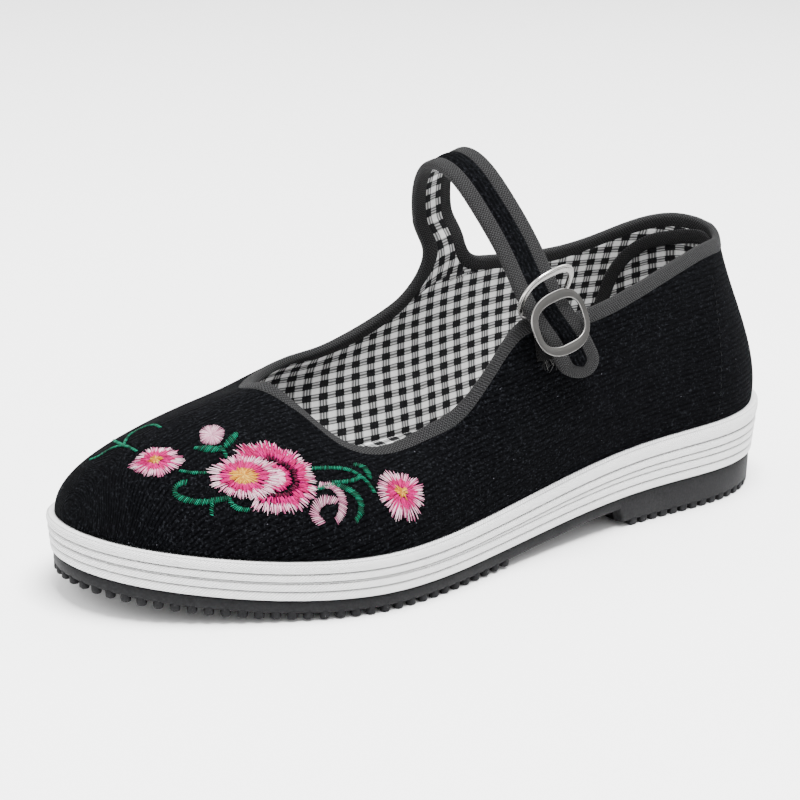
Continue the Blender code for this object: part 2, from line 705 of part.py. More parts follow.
def binding_track():
    """Edge and inner line of the one tape that binds the collar and the strap, with the
    outward normals: it runs forward from the strap's root, round the throat, the outer
    side and the heel, and then up the strap's back edge, round its tip and down its front."""
    half = STRAP_WIDTH / 2
    probe = 2 * math.pi - np.linspace(*ROOT_TURNS, PROBES)
    line, _ = from_collar(probe, np.full((1, len(probe)), BINDING_WIDTH), PROBE_ROWS)
    front = np.interp(ROOT_X + half + FRONT_FILLET, line[0, :, 0], probe)
    back = np.interp(ROOT_X - half - BACK_FILLET, line[0, :, 0], probe)
    span = np.linspace(front, back - 2 * math.pi, 900)
    collar, _ = from_collar(span, np.zeros((1, len(span))))
    walked = np.append(0, np.cumsum(np.linalg.norm(np.diff(collar[0], axis=0), axis=1)))
    turn = np.interp(np.linspace(0, walked[-1], int(walked[-1] / BINDING_STEP)), walked, span)
    points, normals = from_collar(turn, np.array([[0.0], [BINDING_WIDTH]]) * np.ones(len(turn)))
    points = points - normals * WALL / 2
    edge, inner, facing = [points[0]], [points[1]], [normals[0]]
    for side in (-1, 1):
        outer, normal = strap_point(*strap_edge(side, 0.0, ARC_POINTS, RUN_POINTS))
        inside, _ = strap_point(*strap_edge(side, BINDING_WIDTH, ARC_POINTS, RUN_POINTS))
        part = slice(1, None) if side < 0 else slice(-2, 0, -1)
        edge.append(outer[part])
        inner.append(inside[part])
        facing.append(normal[part])
    return np.vstack(edge), np.vstack(inner), np.vstack(facing)


def make_binding():
    edge, inner, normal = binding_track()
    into = unit(inner - edge)
    half = BINDING_THICKNESS / 2
    rings = [
        edge + normal * 0.45 * half,
        edge + into * BINDING_FOLD + normal * half,
        inner + normal * half,
        inner - normal * half,
        edge + into * BINDING_FOLD - normal * half,
        edge - normal * 0.45 * half,
    ]
    return tube("binding", rings, "grey_tape")


# Buckle


def buckle_frame(rise):
    """A point of the strap's middle surface this far above the middle of the outer ring,
    with the ways along the shoe, down the strap and outwards there."""
    collar = wall_at(BUCKLE_X, 0.0, 1)[0][0]
    descent = STRAP_FINE[400:]
    distance = np.interp(-(collar[2] - RING_DROP), -descent[:, 2], STRAP_WALKED[400:]) - rise
    point, normal = (v[0] for v in strap_point([0.0], [distance]))
    side = np.array([math.cos(STRAP_LEAN), 0.0, -math.sin(STRAP_LEAN)])
    return point, side, unit(np.cross(normal, side)), normal


def oval(width, length, power):
    """A rounded oblong: a superellipse of this power."""
    angle = (np.arange(RING_STATIONS) + 0.5) * 2 * math.pi / RING_STATIONS
    cos, sin = np.cos(angle), np.sin(angle)
    return np.column_stack([
        width / 2 * np.sign(cos) * np.abs(cos) ** (2 / power),
        length / 2 * np.sign(sin) * np.abs(sin) ** (2 / power),
    ])


def make_ring(name, centre, side, down, normal, arch, low_bar):
    """A flat stamped ring, bent a little across its middle, with its low bar's own width."""
    outer = oval(RING_WIDTH, RING_LENGTH, 2.7)
    hole = oval(RING_WIDTH - 2 * RING_END, RING_LENGTH - RING_BAR - low_bar, 3.6)
    hole[:, 1] += (RING_BAR - low_bar) / 2
    rings = []
    for plan, lift in ((outer, 0.5), (hole, 0.5), (hole, -0.5), (outer, -0.5)):
        bend = -arch * (2 * plan[:, 0] / RING_WIDTH) ** 2
        height = lift * RING_THICKNESS + bend
        place = np.outer(plan[:, 0], side) + np.outer(plan[:, 1], down) + np.outer(height, normal)
        rings.append(centre + place)
    return tube(name, rings, "dull_steel")


def make_buckle():
    """The outer ring on the strap, the inner ring that the strap runs through, and the tape
    that ties the inner ring's hidden bar to the wall."""
    strap_face = BINDING_THICKNESS / 2 + GAP
    centre, side, down, normal = buckle_frame(0.0)
    lift = strap_face + RING_THICKNESS / 2 + RING_ARCH
    make_ring("buckle_outer_ring", centre + normal * lift, side, down, normal, RING_ARCH, RING_BAR)
    centre, side, down, normal = buckle_frame(TIE_RISE)
    cos, sin = math.cos(RING_TILT), math.sin(RING_TILT)
    tilted_down = down * cos - normal * sin
    tilted_normal = normal * cos + down * sin
    bar_reach = (TIE_BAR * sin + RING_THICKNESS * cos) / 2
    tie = centre - normal * (strap_face + KEEPER_THICKNESS + 2 * GAP + bar_reach)
    inner = tie - tilted_down * (RING_LENGTH - TIE_BAR) / 2
    make_ring("buckle_inner_ring", inner, side, tilted_down, tilted_normal, 0.0, TIE_BAR)
    make_keeper(tie, side, down, normal)


def make_keeper(tie, side, down, normal):
    """A tape folded over the hidden bar, with its tail flat on the wall below."""
    half = KEEPER_THICKNESS / 2
    reach = math.hypot(TIE_BAR, RING_THICKNESS) / 2 + 2 * GAP + half
    across = np.array([-0.5, -0.25, 0.0, 0.25, 0.5]) * KEEPER_WIDTH
    sections = []

    def section(middle, away):
        sections.append(np.vstack([middle + away * half, (middle - away * half)[::-1]]))

    for angle in np.radians(np.linspace(-60, 180, 9)):
        away = math.cos(angle) * normal - math.sin(angle) * down
        section(tie + np.outer(across, side) + reach * away, np.tile(away, (len(across), 1)))
    for depth in np.linspace(-0.5 * MM, KEEPER_LENGTH, 6):
        middle, facing, _ = wall_at(BUCKLE_X + across, np.full(len(across), depth), 1)
        seat = BINDING_THICKNESS / 2 if depth < BINDING_WIDTH + half else WALL / 2
        section(middle + facing * (seat + GAP + half), -facing)
    points, faces = rod(sections)
    return finish("buckle_keeper", points, faces, "grey_tape")


def main():
    clear_scene()
    make_midsole()
    make_outsole()
    make_insole()
    make_upper()
    make_strap()
    make_binding()
    make_buckle()


main()
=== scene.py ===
"""Looks of a left cloth shoe: corduroy upper with a gingham lining, sewn flowers, a woven
binding, a strap with a two-ring buckle, a layered white midsole and a studded rubber tread.

Metres, in the frame's axes: +X to the toe, +Y to the outer side, +Z up.
"""

import math

import bpy
import numpy as np
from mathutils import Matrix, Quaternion, Vector


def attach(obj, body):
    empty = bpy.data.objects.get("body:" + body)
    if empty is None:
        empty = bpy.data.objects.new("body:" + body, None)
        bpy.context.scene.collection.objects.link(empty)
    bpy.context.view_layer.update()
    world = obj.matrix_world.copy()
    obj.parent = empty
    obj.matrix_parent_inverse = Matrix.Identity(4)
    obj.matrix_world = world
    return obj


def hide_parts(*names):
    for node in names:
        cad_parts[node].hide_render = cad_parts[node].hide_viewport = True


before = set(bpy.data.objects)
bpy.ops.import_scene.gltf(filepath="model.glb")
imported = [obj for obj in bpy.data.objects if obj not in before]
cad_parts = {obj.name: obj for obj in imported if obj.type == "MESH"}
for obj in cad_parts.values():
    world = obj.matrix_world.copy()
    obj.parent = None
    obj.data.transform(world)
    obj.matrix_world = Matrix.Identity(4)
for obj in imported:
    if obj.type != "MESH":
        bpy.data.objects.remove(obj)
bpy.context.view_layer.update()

MM = 0.001
TAU = 2 * math.pi

# The shoe's own sizes, the same as the solids'
SOLE_LENGTH = 250 * MM
BALL_WIDTH = 91 * MM
ORIGIN_FROM_HEEL = 34 * MM
HEEL_SEAT = 10.6 * MM
BALL_SEAT = 5.3 * MM
TOE_SPRING = 6.8 * MM
MIDSOLE_HEEL = 17.6 * MM
MIDSOLE_FORE = 10.6 * MM
SIDE_DRAFT = 1.3 * MM
TREAD_PLATE = 3.7 * MM
TREAD_INSET = 0.3 * MM
STUD_HEIGHT = BALL_SEAT - TREAD_PLATE
HEEL_BREAST = 0.305
HEEL_LIFT = 1.6 * MM
FEATHER_INSET = 2.0 * MM
WALL = 2.0 * MM
INSOLE_MARGIN = 1.3 * MM
INSOLE_THICKNESS = 2.4 * MM
QUARTER_HEIGHT = 54 * MM
GAP = 0.3 * MM
BINDING_WIDTH = 5.0 * MM
BINDING_THICKNESS = 2.6 * MM
STRAP_WIDTH = 14.4 * MM
STRAP_THICKNESS = 2.0 * MM
STRAP_HEIGHT = 112.3 * MM
STRAP_LEAN = math.radians(15)
ROOT_X = 103 * MM - ORIGIN_FROM_HEEL
ROOT_DEPTH = BINDING_WIDTH + GAP
ROOT_TURNS = (0.9, 2.1)
FRONT_FILLET = 11.0 * MM
BACK_FILLET = 7.0 * MM
STRAP_SKEW = 10.5 * MM
BUCKLE_X = ROOT_X + STRAP_SKEW
ROOT_BLEND = 18 * MM
STRAP_CLEAR = 6.0 * MM
STRAP_TAIL = 19.3 * MM
TAIL_DRIFT = 0.72
RING_WIDTH = 19.8 * MM
RING_LENGTH = 18.4 * MM
RING_BAR = 2.9 * MM
RING_END = 2.0 * MM
TIE_BAR = 1.6 * MM
RING_THICKNESS = 0.9 * MM
RING_TILT = math.radians(59)
RING_DROP = 0.6 * MM
TIE_RISE = 5.2 * MM
RING_ARCH = 0.8 * MM
KEEPER_WIDTH = 7.6 * MM
KEEPER_THICKNESS = 0.6 * MM
KEEPER_LENGTH = 13.0 * MM

# Edge studs and cross bars of the tread. Where the rows of studs end, the step of the heel's
# breast and the middle of the forefoot's bars are shares of the sole's length
STUD_INSET = 1.35 * MM
STUDS_HEEL_END = 0.286
STUDS_FORE_START = 0.515
HEEL_STUD_PITCH = 4.4 * MM
FORE_STUD_PITCH = 4.5 * MM
BREAST_STEP = 0.006
BAR_PITCH = 8 * MM
BAR_WIDTH = 4 * MM
BAR_INSET = 9 * MM
BALL_BARS_AT = 0.67
HEEL_BAR_COUNT = 5
BALL_BAR_COUNT = 7

WALE_FADE = 34 * MM
WALE_BLEND = 12 * MM
PATCH_TURN = 0.30
PATCH_SHIFT = 2.2
BACK_SEAM_TURN = 0.785
BACK_SEAM_UPS = (0.80, 0.03)

SOLE_ROWS = (
    # along, lateral, medial
    (0.000, 0.000, 0.000),
    (0.030, 0.182, 0.184),
    (0.080, 0.280, 0.288),
    (0.150, 0.330, 0.342),
    (0.250, 0.344, 0.341),
    (0.350, 0.366, 0.321),
    (0.450, 0.408, 0.319),
    (0.550, 0.466, 0.352),
    (0.640, 0.518, 0.416),
    (0.720, 0.530, 0.471),
    (0.800, 0.470, 0.481),
    (0.880, 0.360, 0.445),
    (0.940, 0.254, 0.353),
    (0.980, 0.136, 0.237),
    (1.000, -0.050, 0.050),
)
PROFILE_ROWS = (
    # along, seat, spring, midsole
    (0.00, 1.00, 0.00, 1.00),
    (0.12, 1.02, 0.00, 0.83),
    (0.30, 0.87, 0.00, 0.66),
    (0.45, 0.35, 0.00, 0.45),
    (0.60, 0.00, 0.00, 0.24),
    (0.72, 0.00, 0.01, 0.13),
    (0.85, 0.00, 0.21, 0.08),
    (1.00, 0.00, 1.00, 0.03),
)
LAYER_ROWS = (
    # at the heel, at the forefoot
    (0.00, 0.00),
    (0.17, 0.25),
    (0.34, 0.48),
    (0.51, 0.50),
    (0.68, 0.72),
    (1.00, 1.00),
)
LATERAL_ROWS = (
    # foot, along, side, rise, low up, low out, high out, high down
    (0.00, 0.078, 0.000, 1.045, 0.30, 0.02, 0.07, 0.33),
    (0.03, 0.083, 0.057, 1.030, 0.30, 0.03, 0.08, 0.33),
    (0.08, 0.102, 0.126, 1.010, 0.30, 0.04, 0.08, 0.33),
    (0.15, 0.148, 0.196, 1.022, 0.32, 0.05, 0.09, 0.32),
    (0.25, 0.236, 0.271, 0.980, 0.32, 0.05, 0.09, 0.32),
    (0.35, 0.334, 0.320, 0.912, 0.33, 0.06, 0.08, 0.30),
    (0.42, 0.415, 0.333, 0.910, 0.33, 0.06, 0.08, 0.30),
    (0.48, 0.480, 0.333, 0.948, 0.33, 0.05, 0.09, 0.30),
    (0.53, 0.523, 0.338, 0.798, 0.34, 0.04, 0.12, 0.27),
    (0.58, 0.564, 0.328, 0.603, 0.35, 0.03, 0.17, 0.24),
    (0.64, 0.605, 0.311, 0.511, 0.36, 0.02, 0.24, 0.19),
    (0.72, 0.655, 0.284, 0.436, 0.37, 0.02, 0.33, 0.12),
    (0.80, 0.698, 0.241, 0.458, 0.36, 0.01, 0.35, 0.06),
    (0.88, 0.729, 0.172, 0.587, 0.35, 0.00, 0.29, 0.05),
    (0.94, 0.747, 0.096, 0.692, 0.34, 0.00, 0.22, 0.06),
)
TOE_ROW = (1.00, 0.753, -0.005, 0.717, 0.31, 0.00, 0.18, 0.07)
MEDIAL_ROWS = (
    # foot, along, side, rise, low up, low out, high out, high down
    (0.94, 0.746, 0.085, 0.672, 0.29, 0.00, 0.14, 0.06),
    (0.88, 0.727, 0.160, 0.639, 0.34, 0.00, 0.15, 0.05),
    (0.80, 0.696, 0.232, 0.641, 0.35, 0.01, 0.24, 0.07),
    (0.72, 0.648, 0.282, 0.667, 0.34, 0.02, 0.32, 0.12),
    (0.64, 0.600, 0.307, 0.676, 0.34, 0.03, 0.24, 0.18),
    (0.58, 0.560, 0.320, 0.705, 0.34, 0.04, 0.18, 0.22),
    (0.53, 0.518, 0.329, 0.751, 0.33, 0.05, 0.13, 0.26),
    (0.48, 0.477, 0.328, 0.824, 0.33, 0.05, 0.10, 0.29),
    (0.42, 0.415, 0.324, 0.945, 0.33, 0.06, 0.08, 0.30),
    (0.35, 0.342, 0.315, 0.935, 0.33, 0.06, 0.08, 0.30),
    (0.25, 0.238, 0.275, 0.912, 0.32, 0.05, 0.09, 0.32),
    (0.15, 0.147, 0.203, 1.020, 0.32, 0.05, 0.09, 0.32),
    (0.08, 0.102, 0.130, 1.068, 0.30, 0.04, 0.08, 0.33),
    (0.03, 0.083, 0.058, 1.062, 0.30, 0.03, 0.08, 0.33),
)


# Curves


def spline(knots, values, period=None):
    """Cubic curve through the rows of values at the knots: closed if period is given,
    otherwise free at both ends. Returns a function of one array."""
    x = np.asarray(knots, float)
    y = np.asarray(values, float)
    if y.ndim == 1:
        y = y[:, None]
    if period is not None:
        x = np.append(x, x[0] + period)
        y = np.vstack([y, y[:1]])
    step = np.diff(x)
    slope = np.diff(y, axis=0) / step[:, None]
    count = len(x)
    left = np.zeros((count, count))
    right = np.zeros_like(y)
    for i in range(1, count - 1):
        left[i, i - 1 : i + 2] = step[i - 1], 2 * (step[i - 1] + step[i]), step[i]
        right[i] = 6 * (slope[i] - slope[i - 1])
    if period is None:
        left[0, 0] = left[-1, -1] = 1
    else:
        left[0, :2] = 2 * (step[0] + step[-1]), step[0]
        left[0, -2] = step[-1]
        right[0] = 6 * (slope[0] - slope[-1])
        left[-1, 0], left[-1, -1] = 1, -1
    bend = np.linalg.solve(left, right)

    def at(place):
        """The curve at these places: the cubic between the two knots round each."""
        place = np.atleast_1d(np.asarray(place, float))
        if period is not None:
            place = x[0] + np.mod(place - x[0], period)
        i = np.clip(np.searchsorted(x, place, side="right") - 1, 0, count - 2)
        before, after, h = x[i + 1] - place, place - x[i], step[i]
        before, after, h = before[:, None], after[:, None], h[:, None]
        made = (bend[i] * before**3 + bend[i + 1] * after**3) / (6 * h)
        made += (y[i] / h - bend[i] * h / 6) * before
        made += (y[i + 1] / h - bend[i + 1] * h / 6) * after
        return made[:, 0] if made.shape[1] == 1 else made

    return at


def unit(vectors):
    """Each vector divided by its length."""
    return vectors / np.maximum(np.linalg.norm(vectors, axis=-1, keepdims=True), 1e-12)


def smooth(share):
    """A share eased in and out: 3 s squared less 2 s cubed, held between 0 and 1."""
    share = np.clip(share, 0, 1)
    return share * share * (3 - 2 * share)


def walked(points):
    """Distance walked along a row of points, from 0."""
    return np.append(0, np.cumsum(np.linalg.norm(np.diff(points, axis=0), axis=1)))


def turn_of(along):
    """Angle round the sole of a station on the outer side: 0 at the heel, pi at the toe."""
    return np.arccos(1 - 2 * np.asarray(along, float))


def along_of(turn):
    """Station along the sole of an angle: half of 1 less its cosine."""
    return (1 - np.cos(turn)) / 2


def make_outline():
    """Sideways reach of the sole as a closed cubic curve of the angle round it."""
    along, lateral, medial = np.array(SOLE_ROWS).T
    lateral_turns = turn_of(along)
    knots = np.concatenate([lateral_turns, (TAU - lateral_turns[1:-1])[::-1]])
    sides = np.concatenate([lateral, -medial[1:-1][::-1]])
    return spline(knots, sides * BALL_WIDTH, TAU)


OUTLINE_SIDE = make_outline()
PROFILE = spline([r[0] for r in PROFILE_ROWS], [r[1:] for r in PROFILE_ROWS])


def outline(turn, inset=0.0):
    """Plan of the sole at these angles, moved inwards by inset: x and y."""

    def raw(t):
        """The outline before it is moved inwards."""
        return np.stack([SOLE_LENGTH * along_of(t) - ORIGIN_FROM_HEEL, OUTLINE_SIDE(t)], 1)

    small = 1e-4
    way = unit(raw(turn + small) - raw(turn - small))
    inwards = np.stack([way[:, 1], -way[:, 0]], 1)
    return raw(turn) + inwards * np.reshape(inset, (-1, 1))


def sole_ring(turn, inset, height):
    """The outline moved inwards by inset, as points at these heights."""
    return np.column_stack([outline(turn, inset), height])


def outward(turn):
    """Level unit vectors that point away from the sole's outline."""
    away = outline(turn, -MM) - outline(turn)
    return unit(np.column_stack([away, np.zeros(len(away))]))


def even_turns(count, inset=0.0):
    """Angles round the sole at even steps of its outline."""
    fine = np.linspace(0, TAU, 4001)
    gone = walked(outline(fine, inset))
    return np.interp(np.linspace(0, gone[-1], count + 1)[:-1], gone, fine)


def seat_height(along):
    """Height of the midsole's underside."""
    row = PROFILE(along)
    return BALL_SEAT + (HEEL_SEAT - BALL_SEAT) * row[:, 0] + TOE_SPRING * row[:, 1]


def midsole_top(along):
    """Height of the midsole's upper face."""
    row = PROFILE(along)
    return seat_height(along) + MIDSOLE_FORE + (MIDSOLE_HEEL - MIDSOLE_FORE) * row[:, 2]


def make_wall_splines():
    """Collar point and wall handles as closed curves of the angle round the shoe."""
    lateral = [(turn_of(r[0]), *r[1:]) for r in (*LATERAL_ROWS, TOE_ROW)]
    medial = [(TAU - turn_of(r[0]), r[1], -r[2], *r[3:]) for r in MEDIAL_ROWS]
    rows = np.array([*lateral, *medial], float)
    return spline(rows[:, 0], rows[:, 1:], TAU)


WALL_SHAPE = make_wall_splines()


def wall(turn, up):
    """Outer surface of the upper at these angles round the shoe and shares up the wall: a
    cubic Bezier curve from the foot on the sole to the collar point."""
    turn, up = np.broadcast_arrays(np.asarray(turn, float), np.asarray(up, float))
    shape = WALL_SHAPE(turn)
    along = along_of(turn)
    foot = np.column_stack([outline(turn, FEATHER_INSET), midsole_top(along) + GAP])
    x = shape[:, 0] * SOLE_LENGTH - ORIGIN_FROM_HEEL
    y = shape[:, 1] * BALL_WIDTH
    z = midsole_top(shape[:, 0]) + shape[:, 2] * QUARTER_HEIGHT
    collar = np.column_stack([x, y, z])
    reach = np.linalg.norm(collar - foot, axis=1, keepdims=True)
    out, top = outward(turn), np.array([0.0, 0.0, 1.0])
    low = foot + reach * (shape[:, 3:4] * top + shape[:, 4:5] * out)
    high = collar + reach * (shape[:, 5:6] * out - shape[:, 6:7] * top)
    t = up[:, None]
    return (
        foot * (1 - t) ** 3
        + 3 * low * t * (1 - t) ** 2
        + 3 * high * t**2 * (1 - t)
        + collar * t**3
    )


def wall_facing(turn, up):
    """Outward normals of the wall: the cross product of its two tangents."""
    small = 1e-3
    up = np.clip(up, 0.002, 0.998)
    across = wall(turn + small, up) - wall(turn - small, up)
    upwards = wall(turn, up + small) - wall(turn, up - small)
    return unit(np.cross(upwards, across))


def wall_lines(turn, rows):
    """The wall as points[row][station] from the sole up to the collar."""
    share = np.linspace(0, 1, rows)
    made = wall(np.tile(turn, rows), np.repeat(share, len(turn)))
    return made.reshape(rows, len(turn), 3)


def ups_from_collar(turn, distances, rows=120):
    """Shares up the wall at these distances down from the collar, measured along the wall:
    an array [distance][station]."""
    lines = wall_lines(turn, rows)
    steps = np.linalg.norm(np.diff(lines[::-1], axis=0), axis=2)
    gone = np.vstack([np.zeros(len(turn)), np.cumsum(steps, axis=0)])
    share = np.linspace(1, 0, rows)
    distances = np.broadcast_to(distances, (len(distances), len(turn)))
    up = np.empty(distances.shape)
    for s in range(len(turn)):
        up[:, s] = np.interp(distances[:, s], gone[:, s], share)
    return up


def from_collar(turn, distances, rows=120):
    """Points at these distances down from the collar and the outward normals there."""
    up = ups_from_collar(turn, distances, rows)
    angles = np.tile(turn, len(up))
    points = wall(angles, up.ravel()).reshape(*up.shape, 3)
    return points, wall_facing(angles, up.ravel()).reshape(*up.shape, 3)


def wall_length(turn):
    """Length of the wall from the sole up to the collar at each angle."""
    return np.linalg.norm(np.diff(wall_lines(turn, 120), axis=0), axis=2).sum(axis=0)


# Strap's place


def collar_turn(x, side):
    """Angle round the shoe where the binding's lower edge passes x: side is 1 for the outer
    wall and -1 for the inner one."""
    turn = np.linspace(*ROOT_TURNS, 160)
    turn = turn if side > 0 else TAU - turn
    line, _ = from_collar(turn, np.full((1, len(turn)), BINDING_WIDTH), 60)
    return np.interp(x, line[0, :, 0], turn)


def wall_at(x, depth, side):
    """Points, outward normals and upward directions of the wall's middle surface, at places
    x and depths below the collar. Depths above the collar run straight on."""
    x, depth = np.broadcast_arrays(np.atleast_1d(x), np.atleast_1d(depth))
    seat = collar_turn(x, side)
    below = np.maximum(depth, 0)
    points, normals = from_collar(seat, np.array([below, np.zeros(len(x)), np.full(len(x), 3 * MM)]))
    up = unit(points[1] - points[2])
    middle = points[0] - normals[0] * WALL / 2 + up * np.maximum(-depth, 0)[:, None]
    return middle, normals[0], up


def make_strap_path():
    """The strap's middle line, as points by their length from the root."""
    root, _, up = (v[0] for v in wall_at(ROOT_X, ROOT_DEPTH, -1))
    crest = STRAP_HEIGHT - STRAP_THICKNESS / 2
    rise = crest - root[2]
    slope = math.tan(STRAP_LEAN)
    depths = np.array([0.0, 0.35, 0.70, 1.0]) * STRAP_TAIL
    clear = np.array([1.0, 1.0, 0.62, 0.45]) * STRAP_CLEAR + WALL / 2
    seat, normal, _ = wall_at(np.full(4, BUCKLE_X), depths, 1)
    seat = seat + normal * clear[:, None]
    y0, z0 = root[1], root[2]
    span, drop = seat[0, 1] - y0, crest - seat[0, 2]
    lift = 7 * MM
    corners = [
        (y0, z0),
        (y0 + lift * up[1], z0 + lift * up[2]),
        (y0 + 0.030 * span, z0 + 0.45 * rise),
        (y0 + 0.110 * span, z0 + 0.79 * rise),
        (y0 + 0.280 * span, z0 + 0.985 * rise),
        (y0 + 0.460 * span, crest - 0.035 * drop),
        (y0 + 0.650 * span, crest - 0.260 * drop),
        (y0 + 0.830 * span, crest - 0.600 * drop),
        *seat[:, 1:],
    ]
    heights = np.array([z - z0 for _, z in corners])
    drift = slope * heights + STRAP_SKEW * np.array([y - y0 for y, _ in corners]) / span
    tail = heights[-len(seat):]
    drift[-len(seat):] = drift[-len(seat)] - TAIL_DRIFT * (tail[0] - tail)
    corners = np.array([(ROOT_X + x, y, z) for x, (y, z) in zip(drift, corners)])
    rough = walked(corners)
    fine = spline(rough, corners)(np.linspace(0, rough[-1], 600))
    return walked(fine), fine


STRAP_WALKED, STRAP_FINE = make_strap_path()
STRAP_LENGTH = STRAP_WALKED[-1]


def along_strap(distance):
    """Points of the strap's middle line at these lengths from the root."""
    return np.column_stack([np.interp(distance, STRAP_WALKED, STRAP_FINE[:, a]) for a in range(3)])


def strap_point(across, distance):
    """Points on the strap's middle surface and their outward normals. across runs from the
    strap's middle line towards the toe. Near the root the strap is part of the wall."""
    across, distance = np.broadcast_arrays(np.asarray(across, float), np.asarray(distance, float))
    lean = STRAP_LEAN * smooth(distance / ROOT_BLEND)
    side = np.column_stack([np.cos(lean), np.zeros(len(lean)), -np.sin(lean)])
    step = 0.5 * MM
    way = unit(along_strap(distance + step) - along_strap(distance - step))
    free = along_strap(distance) + across[:, None] * side
    free_normal = unit(np.cross(side, way))
    seat, seat_normal, _ = wall_at(ROOT_X + across, ROOT_DEPTH - distance, -1)
    share = smooth((distance - ROOT_DEPTH) / ROOT_BLEND)[:, None]
    return seat + (free - seat) * share, unit(seat_normal + (free_normal - seat_normal) * share)


def strap_edge(side, inset, arc_points, run_points, tip_points):
    """Half of the strap's outline, set in by inset, from the collar up to the tip: places
    across the strap and along it. side is 1 for the front edge and -1 for the back one."""
    fillet = FRONT_FILLET if side > 0 else BACK_FILLET
    start = math.asin(min(1, (fillet + BINDING_WIDTH) / (fillet + inset)))
    angle = np.linspace(start, 0, arc_points)
    half = STRAP_WIDTH / 2
    across = half + fillet - (fillet + inset) * np.cos(angle)
    distance = ROOT_DEPTH + fillet - (fillet + inset) * np.sin(angle)
    last = STRAP_LENGTH - half
    run = np.linspace(distance[-1], last, run_points + 1)[1:]
    tip = np.linspace(0, math.pi / 2, tip_points)[1:]
    across = np.concatenate([across, np.full(run_points, half - inset), (half - inset) * np.cos(tip)])
    distance = np.concatenate([distance, run, last + (half - inset) * np.sin(tip)])
    return side * across, distance


# Mesh and material tools


def settle(name, points, faces, uv, material, replaced=()):
    """A piece from points and faces, with a UV pair for each face corner, riding on the shoe.
    Turned the right way round by the sign of its volume."""
    points = np.asarray(points, float).reshape(-1, 3)
    sizes = np.array([len(f) for f in faces]) if isinstance(faces, list) else None
    corners = np.concatenate([np.asarray(f) for f in faces]) if sizes is not None else faces.ravel()
    if sizes is None:
        sizes = np.full(len(faces), faces.shape[1])
    starts = np.append(0, np.cumsum(sizes)[:-1])
    mesh = bpy.data.meshes.new(name)
    mesh.vertices.add(len(points))
    mesh.vertices.foreach_set("co", points.ravel())
    mesh.loops.add(len(corners))
    mesh.loops.foreach_set("vertex_index", corners.astype(np.int32))
    mesh.polygons.add(len(sizes))
    mesh.polygons.foreach_set("loop_start", starts.astype(np.int32))
    if uv is not None:
        layer = mesh.uv_layers.new(name="cloth")
        layer.data.foreach_set("uv", np.asarray(uv, float).ravel())
    mesh.update(calc_edges=True)
    mesh.validate()
    first, second, third = (points[corners[starts + k]] for k in range(3))
    last = points[corners[starts + sizes - 1]]
    volume = (first * np.cross(second, third)).sum() + (first * np.cross(third, last)).sum()
    if volume < 0:
        mesh.flip_normals()
    mesh.shade_smooth()
    made = bpy.data.objects.new(name, mesh)
    mesh.materials.append(material)
    bpy.context.scene.collection.objects.link(made)
    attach(made, "root")
    if replaced:
        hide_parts(*replaced)
    return made


def quads(rows, columns, close_rows, close_columns):
    """Corner indices and UV corner indices of a grid's quads. The UV grid has one more row
    or column where the grid closes on itself."""
    r = np.arange(rows if close_rows else rows - 1)
    c = np.arange(columns if close_columns else columns - 1)
    r, c = (a.ravel() for a in np.meshgrid(r, c, indexing="ij"))
    r2, c2 = (r + 1) % rows, (c + 1) % columns
    faces = np.stack([r * columns + c, r * columns + c2, r2 * columns + c2, r2 * columns + c], 1)
    wide = columns + 1 if close_columns else columns
    marks = np.stack([r * wide + c, r * wide + c + 1, (r + 1) * wide + c + 1, (r + 1) * wide + c], 1)
    return faces, marks


def tube_piece(name, rings, uv, material, replaced=()):
    """A solid that is closed both ways: rings[section point][station]. uv has one more row
    and column than rings."""
    rings = np.asarray(rings)
    faces, marks = quads(rings.shape[0], rings.shape[1], True, True)
    uv = np.asarray(uv).reshape(-1, 2)[marks].reshape(-1, 2)
    return settle(name, rings, faces, uv, material, replaced)


def capped_piece(name, rings, uv, material, replaced=()):
    """A solid whose rings close on themselves and whose first and last ring are filled by a
    point in their middle. uv has one more column than rings."""
    rings = np.asarray(rings)
    count, columns = rings.shape[:2]
    faces, marks = quads(count, columns, False, True)
    uv = np.asarray(uv)
    middles = np.stack([rings[0].mean(0), rings[-1].mean(0)])
    points = np.vstack([rings.reshape(-1, 3), middles])
    c = np.arange(columns)
    nxt = (c + 1) % columns
    low = np.stack([np.full(columns, count * columns), nxt, c], 1)
    top = (count - 1) * columns
    high = np.stack([np.full(columns, count * columns + 1), top + c, top + nxt], 1)
    flat = uv.reshape(-1, 2)
    low_uv = np.stack([np.broadcast_to(uv[0, :-1].mean(0), (columns, 2)), uv[0, 1:], uv[0, :-1]], 1)
    high_uv = np.stack([np.broadcast_to(uv[-1, :-1].mean(0), (columns, 2)), uv[-1, :-1], uv[-1, 1:]], 1)
    all_uv = np.vstack([flat[marks].reshape(-1, 2), low_uv.reshape(-1, 2), high_uv.reshape(-1, 2)])
    return settle(name, points, [*faces, *low, *high], all_uv, material, replaced)


def new_material(name):
    """A material with its node tree and its shader."""
    made = bpy.data.materials.new(name)
    made.use_nodes = True
    tree = made.node_tree
    return made, tree, tree.nodes["Principled BSDF"]


def add(tree, kind, inputs=(), **settings):
    """A shader node with its settings, and its inputs set to values or linked to sockets."""
    made = tree.nodes.new("ShaderNode" + kind)
    for key, value in settings.items():
        setattr(made, key, value)
    for key, value in dict(inputs).items():
        socket = made.inputs[key]
        if isinstance(value, bpy.types.NodeSocket):
            tree.links.new(value, socket)
        else:
            socket.default_value = value
    return made


def calc(tree, operation, *values, clamp=False):
    """Result of a Math node on numbers or sockets."""
    made = add(tree, "Math", dict(enumerate(values)), operation=operation, use_clamp=clamp)
    return made.outputs[0]


